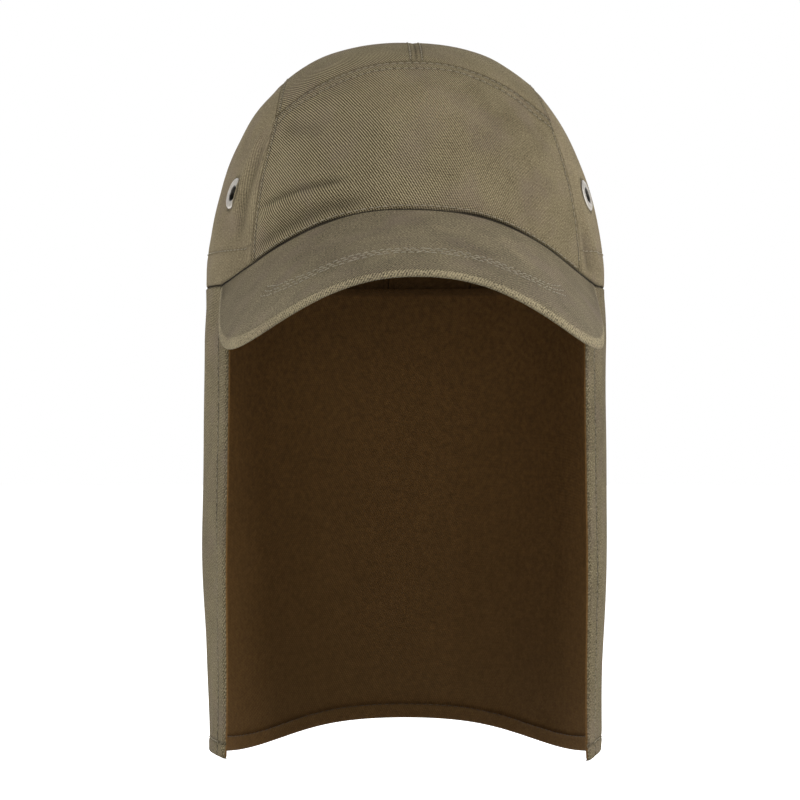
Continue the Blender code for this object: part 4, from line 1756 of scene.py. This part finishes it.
@dataclass
class Flap:
    """The neck flap: one hanging sheet with folded, stitched hems, tucked under the crown's edge."""

    crown: CrownForm
    finish: TwillFinish
    thread: Thread
    thread_finish: ThreadFinish
    inner_thread: ThreadFinish
    length: float = 0.1985
    stand_out: float = 0.0010
    draw_in: float = 0.0030
    turn: float = 1.1
    top_opening: float = 0.862
    hem_opening: float = 0.919
    spread_share: float = 0.12
    draw_share: float = 0.5
    wave_depth: float = 0.0016
    wall: float = 0.0012
    fold: float = 0.0012
    side_hem: float = 0.0082
    low_hem: float = 0.0066
    hem_step: float = 0.0010
    hem_rise: float = 0.00025
    hem_groove: float = 0.00040
    side_groove_width: float = 0.0009
    low_groove_width: float = 0.0008
    pucker_pitch: float = 0.0085
    low_pucker: float = 0.00016
    top_pucker: float = 0.00018
    side_pucker_pitch: float = 0.0090
    side_pucker: float = 0.00014
    pucker_reach: float = 0.004
    free_width: float = 0.012
    worn_width: float = 0.0016
    tuck: float = 0.0030
    tuck_depth: float = 0.0018
    columns: int = 250
    rows: int = 130
    waves: tuple[tuple[float, float, float], ...] = (
        (-100.0, 16.0, 0.8),
        (-140.0, 17.0, -0.9),
        (145.0, 17.0, -0.8),
        (104.0, 16.0, 0.9),
    )
    drops: tuple[tuple[float, float, float], ...] = (
        (-120.0, 28.0, 0.040),
        (120.0, 28.0, 0.040),
        (60.0, 12.0, 0.010),
    )
    uneven: Unevenness = field(default_factory=lambda: Unevenness(seed=67, height=0.00038, longest=0.06))

    def bumps(self, rows: Sequence[tuple[float, float, float]], turn: np.ndarray) -> np.ndarray:
        """Sum of bells round the head.

        Args:
            rows: Turn, width and height of each bell.
            turn: Turns from the front.

        Returns:
            The sum at each turn.
        """
        away = [(turn - row[0] + 180.0) % 360.0 - 180.0 for row in rows]
        return sum(row[2] * hump(distance, row[1]) for row, distance in zip(rows, away))

    def half_width(self, drop: np.ndarray) -> np.ndarray:
        """Half width of the ring: it fills out under the crown and draws in at the hem.

        Args:
            drop: Shares down from the crown's edge to the hem.

        Returns:
            Half widths.
        """
        spread = smooth_step(drop / self.spread_share)
        draw = smooth_step((drop - self.draw_share) / (1 - self.draw_share))
        return self.crown.head.half_width + self.stand_out * spread - self.draw_in * draw

    def front_turn(self, drop: np.ndarray) -> np.ndarray:
        """Turn of the front edges, from the share of the ring's width that they leave open."""
        held = np.maximum(drop, 0.0)
        return np.degrees(np.arcsin(self.top_opening + (self.hem_opening - self.top_opening) * held**2))

    def girth(self, drop: np.ndarray) -> np.ndarray:
        """Length round the head at a drop: pi (half width + half length) * (1 - front / 180)."""
        ring = self.half_width(drop) + self.crown.head.half_length
        return math.pi * ring * (1.0 - self.front_turn(drop) / 180.0)

    def face(self, share: np.ndarray, drop: np.ndarray) -> tuple[np.ndarray, ...]:
        """Outer face of the flap with its hems, tuck and slow waves.

        Positions follow an ellipse by turn. The way out is the ellipse's own normal.

        Args:
            share: Shares round the head from the left front edge to the right one.
            drop: Shares down from the crown's edge to the hem, below 0 in the tuck.

        Returns:
            Positions, normals, wall thicknesses, painted shade in the hem grooves and under the crown's edge,
            and how near an edge is, for real rubbing plus a painted highlight.
        """
        turn = self.share_turn(share, drop)
        angle = np.radians(turn)
        half_width, half_length = self.half_width(drop), self.crown.head.half_length
        wave = self.wave_depth * self.bumps(self.waves, turn) * smooth_step(drop)
        x = (half_width + wave) * np.sin(angle)
        y = -(half_length + wave) * np.cos(angle)
        top = self.crown.edge_height(self.share_turn(share, np.zeros_like(drop))) - 0.0004
        hang = self.length * (1 + self.bumps(self.drops, turn)) + top
        z = top - hang * drop
        base = np.stack([x, y, z], axis=-1)
        out = [np.sin(angle) / half_width, -np.cos(angle) / half_length, 0 * angle]
        normal = unit(np.stack(out, axis=-1))
        girth = self.girth(np.maximum(drop, 0.0))
        beside = np.minimum(share, 1 - share) * girth
        above = (1 - drop) * hang
        below = drop * hang
        from_side, from_low = beside - self.side_hem, above - self.low_hem
        in_hem = 1 - smooth_step(np.minimum(from_side, from_low) / self.hem_step)
        wall = self.wall + self.fold * in_hem
        rim = (self.wall + self.fold) / 2
        rolled = roll_over(beside, rim) + roll_over(above, rim)
        wall = wall - 1.9 * rolled
        side_groove = hump(from_side, self.side_groove_width)
        low_groove = hump(from_low, self.low_groove_width)
        lift = self.hem_rise * in_hem - rolled - self.hem_groove * (side_groove + low_groove)
        lift = lift - self.tuck_depth * (1 - smooth_step((below + 0.0010) / 0.0018))
        along = share * girth
        wave = np.sin(2 * math.pi * along / self.pucker_pitch + 1.3 * np.sin(along / 0.006))
        lift = lift + self.low_pucker * wave * np.exp(-np.abs(from_low) / self.pucker_reach)
        lift = lift + self.top_pucker * wave * np.exp(-np.maximum(below, 0.0) / 0.006)
        wave = np.sin(2 * math.pi * above / self.side_pucker_pitch + 1.5 * np.sin(above / 0.0061))
        lift = lift + self.side_pucker * wave * np.exp(-np.abs(from_side) / self.pucker_reach)
        free = smooth_step(np.minimum(beside, above) / self.free_width) * smooth_step(below / self.free_width)
        lift = lift + free * self.uneven.lift(base * np.array([1.0, 1.0, 0.45]))
        # Painted shade in the hem's stitch grooves
        groove = np.maximum(1.25 * side_groove, 0.9 * low_groove)
        # Painted shadow along the top, under the crown's edge
        groove = np.maximum(groove, 1.5 * (1 - smooth_step((below + 0.0004) / 0.0016)))
        # How near an edge is, for real rubbing plus a painted highlight
        worn = np.exp(-np.minimum(beside, above) / self.worn_width)
        return base + lift[..., None] * normal, normal, np.maximum(wall, 0.0003), groove, worn

    def cloth(self) -> Cloth:
        """The whole sheet on its grid, from the tuck down to the hem.

        Returns:
            Faces, weave distances and finish masks.
        """
        down = graded(self.rows, 0.66) * (1 + self.tuck / self.length) - self.tuck / self.length
        share, drop = np.meshgrid(graded(self.columns, 0.66), down, indexing="ij")
        outer, normal, wall, groove, worn = self.face(share, drop)
        inner = outer - wall[..., None] * normal
        u = run_length(outer, 0)
        v = run_length(outer, 1)
        weave = np.stack([u - u[self.columns // 2], v[:, -1:] - v], axis=-1)
        return Cloth(outer, inner, weave, groove, worn)

    def row(self, start: tuple[float, float], end: tuple[float, float], inside: bool) -> StitchRow:
        """A row of stitches between two places on the sheet.

        Args:
            start: Distance from the nearer front edge, negative for the right one, and above the hem.
            end: The same for the row's other end.
            inside: Whether the row shows on the inner face.

        Returns:
            The row.
        """
        way = np.linspace(0.0, 1.0, 300)
        drop = np.ones_like(way)
        share = np.zeros_like(way)
        for _ in range(3):
            girth = self.girth(drop)
            hang = self.length * (1 + self.bumps(self.drops, self.share_turn(share, drop)))
            from_left = [place / girth if place >= 0 else 1 + place / girth for place in (start[0], end[0])]
            share = from_left[0] * (1 - way) + from_left[1] * way
            above = start[1] * (1 - way) + end[1] * way
            drop = 1 - above / hang
        points, normals, wall, _, _ = self.face(share, drop)
        if inside:
            return StitchRow(points - wall[:, None] * normals, -normals)
        return StitchRow(points, normals)

    def share_turn(self, share: np.ndarray, drop: np.ndarray) -> np.ndarray:
        """Turn from the front of a share round the sheet at a drop."""
        front = self.front_turn(drop)
        return self.turn - front - (360.0 - 2 * front) * share

    def build(self) -> dict[str, bpy.types.Object]:
        """Builds the sheet and its stitching.

        Returns:
            The sheet under its node's name and its stitching under "outer" and "inner".
        """
        piece = hang_cloth("neck_flap_cloth", self.cloth(), self.finish.material())
        top = self.length - 0.004
        pieces = {"neck_flap": piece}
        for word, finish in (("outer", self.thread_finish), ("inner", self.inner_thread)):
            inside = word == "inner"
            rows = [
                self.row((self.side_hem, self.low_hem), (-self.side_hem, self.low_hem), inside),
                self.row((self.side_hem, 0.002), (self.side_hem, top), inside),
                self.row((-self.side_hem, 0.002), (-self.side_hem, top), inside),
            ]
            pieces[word] = self.thread.sew(f"flap_{word}_stitching", rows, finish)
        return pieces


@dataclass(frozen=True)
class Softbox:
    """A soft area light that looks at the cap's middle. Its turn is from the front, towards +X."""

    name: str
    turn: float
    elevation: float
    size: tuple[float, float]
    watts: float
    distance: float = 1.7

    def build(self) -> None:
        """Places the light by its turn and its elevation above level."""
        data = bpy.data.lights.new(self.name, "AREA")
        data.shape = "RECTANGLE"
        data.size, data.size_y = self.size
        data.energy = self.watts
        turn, elevation = math.radians(self.turn), math.radians(self.elevation)
        flat = self.distance * math.cos(elevation)
        lamp = bpy.data.objects.new(self.name, data)
        lamp.location = (flat * math.sin(turn), -flat * math.cos(turn), self.distance * math.sin(elevation))
        lamp.rotation_euler = (math.radians(90.0) - elevation, 0.0, turn)
        bpy.context.scene.collection.objects.link(lamp)


@dataclass
class Studio:
    """Camera, soft lights, pale floor and surroundings."""

    distance: float = 1.20
    eye_height: float = -0.0386
    focal_px: float = 2765.0
    frame_px: float = 800.0
    centre_px: tuple[float, float] = (405.3, 377.0)
    floor_height: float = -0.32
    floor_radius: float = 6.0
    floor_rings: int = 12
    floor_sides: int = 64
    room_light: float = 0.22
    lights: tuple[Softbox, ...] = (
        Softbox("left_softbox", -68.0, 8.0, (0.9, 1.6), 20.0),
        Softbox("right_softbox", 66.0, 12.0, (0.9, 1.6), 23.0),
        Softbox("top_softbox", 55.0, 55.0, (1.2, 1.0), 6.0),
        Softbox("front_softbox", 4.0, -6.0, (1.3, 0.8), 6.0),
        Softbox("back_softbox", 180.0, 24.0, (1.6, 1.0), 9.0),
    )

    def camera(self) -> None:
        """Sets up a level camera in front whose axis meets the picture at the stated pixel."""
        data = bpy.data.cameras.new("camera")
        data.sensor_width = 36.0
        data.lens = self.focal_px / self.frame_px * data.sensor_width
        half = self.frame_px / 2
        data.shift_x = (half - self.centre_px[0]) / self.frame_px
        data.shift_y = (self.centre_px[1] - half) / self.frame_px
        data.clip_end = 50.0
        camera = bpy.data.objects.new("camera", data)
        camera.location = (0.0, -self.distance, self.eye_height)
        camera.rotation_euler = (math.radians(90.0), 0.0, 0.0)
        bpy.context.scene.collection.objects.link(camera)
        bpy.context.scene.camera = camera

    def floor(self) -> None:
        """Lays a round pale floor: rings of points at even steps from the middle."""
        radius = np.linspace(0.0, self.floor_radius, self.floor_rings + 1)[1:]
        angle = np.arange(self.floor_sides) * 2 * math.pi / self.floor_sides
        ring = np.stack([np.cos(angle), np.sin(angle)], axis=-1)
        plan = (radius[:, None, None] * ring).reshape(-1, 2)
        points = np.concatenate([plan, np.full((len(plan), 1), self.floor_height)], axis=1)
        index, quads = ring_quads(self.floor_rings, self.floor_sides)
        faces = [*quads[:, ::-1].tolist(), index[0].tolist()]
        floor = put_mesh("studio_floor", points, faces, plan, {}, FloorFinish().material())
        floor.visible_diffuse = False

    def surroundings(self) -> None:
        """A white room behind everything, which gives only a little light."""
        world = bpy.data.worlds.new("studio")
        bpy.context.scene.world = world
        bench = Bench(world, "Background")
        seen = Wire(bench, bench.node("ShaderNodeLightPath").outputs["Is Camera Ray"])
        strength = seen * (1.0 - self.room_light) + self.room_light
        bench.dress({"Color": (1.0, 1.0, 1.0, 1.0), "Strength": strength})

    def build(self) -> None:
        """Sets up the whole studio and plain display colours."""
        self.camera()
        self.floor()
        self.surroundings()
        for light in self.lights:
            light.build()
        scene = bpy.context.scene
        scene.view_settings.view_transform = "Standard"
        scene.view_settings.look = "None"


def settle(piece: bpy.types.Object, slot: Slot, *nodes: str) -> None:
    """Gives a piece its body, hides the nodes that it stands for, and reports it.

    Args:
        piece: The piece.
        slot: Not used.
        nodes: Nodes that it replaces.
    """
    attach(piece, "root")
    if nodes:
        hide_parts(*nodes)
    LOG.info("%s: %d faces", piece.name, len(piece.data.polygons))


def main() -> None:
    """Builds the studio and the cap, piece by piece, and notes the sizes."""
    logging.basicConfig(level=logging.INFO, format="%(message)s", stream=sys.stdout)
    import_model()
    Studio().build()
    head = Head()
    peak_form = PeakForm(head)
    crown_form = CrownForm(head, peak_form)
    thread = Thread()
    twill = dict(faded=(0.440, 0.370, 0.225), deep=(0.040, 0.030, 0.016))
    # Painted shade colours for the inner faces of the crown and the flap
    painted_shade_brown, dim_painted_shade_brown = (0.162, 0.086, 0.027), (0.080, 0.042, 0.013)
    crown_finish = TwillFinish(
        "crown_twill", colour=(0.178, 0.141, 0.079), inside=dim_painted_shade_brown, lining_contrast=0.0, **twill
    )
    # Side panels: the same twill in a lighter colour, which is painted light, with less relief and contrast
    side_finish = TwillFinish(
        "side_twill",
        colour=(0.215, 0.172, 0.102),
        inside=dim_painted_shade_brown,
        relief=0.00010,
        contrast=0.60,
        lining_contrast=0.0,
        **twill,
    )
    peak_finish = TwillFinish(
        "peak_twill",
        colour=(0.165, 0.136, 0.088),
        inside=painted_shade_brown,
        relief=0.00012,
        contrast=0.75,
        grain=1.2,
        # A strong painted highlight with real rubbing on the peak's edge band
        wear=0.24,
        edge_contrast=0.0,
        **twill,
    )
    flap_finish = TwillFinish(
        "flap_twill",
        colour=(0.146, 0.117, 0.065),
        inside=painted_shade_brown,
        relief=0.00018,
        contrast=1.4,
        grain=1.2,
        **twill,
    )
    thread_finish = ThreadFinish("sewing_thread", (0.400, 0.345, 0.240))
    pale_thread = ThreadFinish("pale_thread", (0.440, 0.390, 0.285))
    # Dark thread for the inner rows: painted shade, like the inner face
    brown_thread = ThreadFinish("brown_thread", (0.085, 0.052, 0.022))
    crown = Crown(crown_form, crown_finish, side_finish, thread, thread_finish).build()
    settle(crown.pop("stitching"), Slot.CROWN)
    for node, piece in crown.items():
        settle(piece, Slot.METAL if node.startswith("eyelet") else Slot.CROWN, node)
    rough_thread = Thread(radius=0.00022, jitter=0.00024, slant=0.13, seed=8)
    peak = Peak(peak_form, peak_finish, rough_thread, pale_thread).build()
    settle(peak["peak"], Slot.PEAK, "peak")
    settle(peak["stitching"], Slot.PEAK)
    flap = Flap(crown_form, flap_finish, thread, thread_finish, brown_thread).build()
    settle(flap["neck_flap"], Slot.FLAP, "neck_flap")
    settle(flap["outer"], Slot.FLAP)
    settle(flap["inner"], Slot.FLAP)
    bpy.context.view_layer.update()


if __name__ == "__main__":
    main()
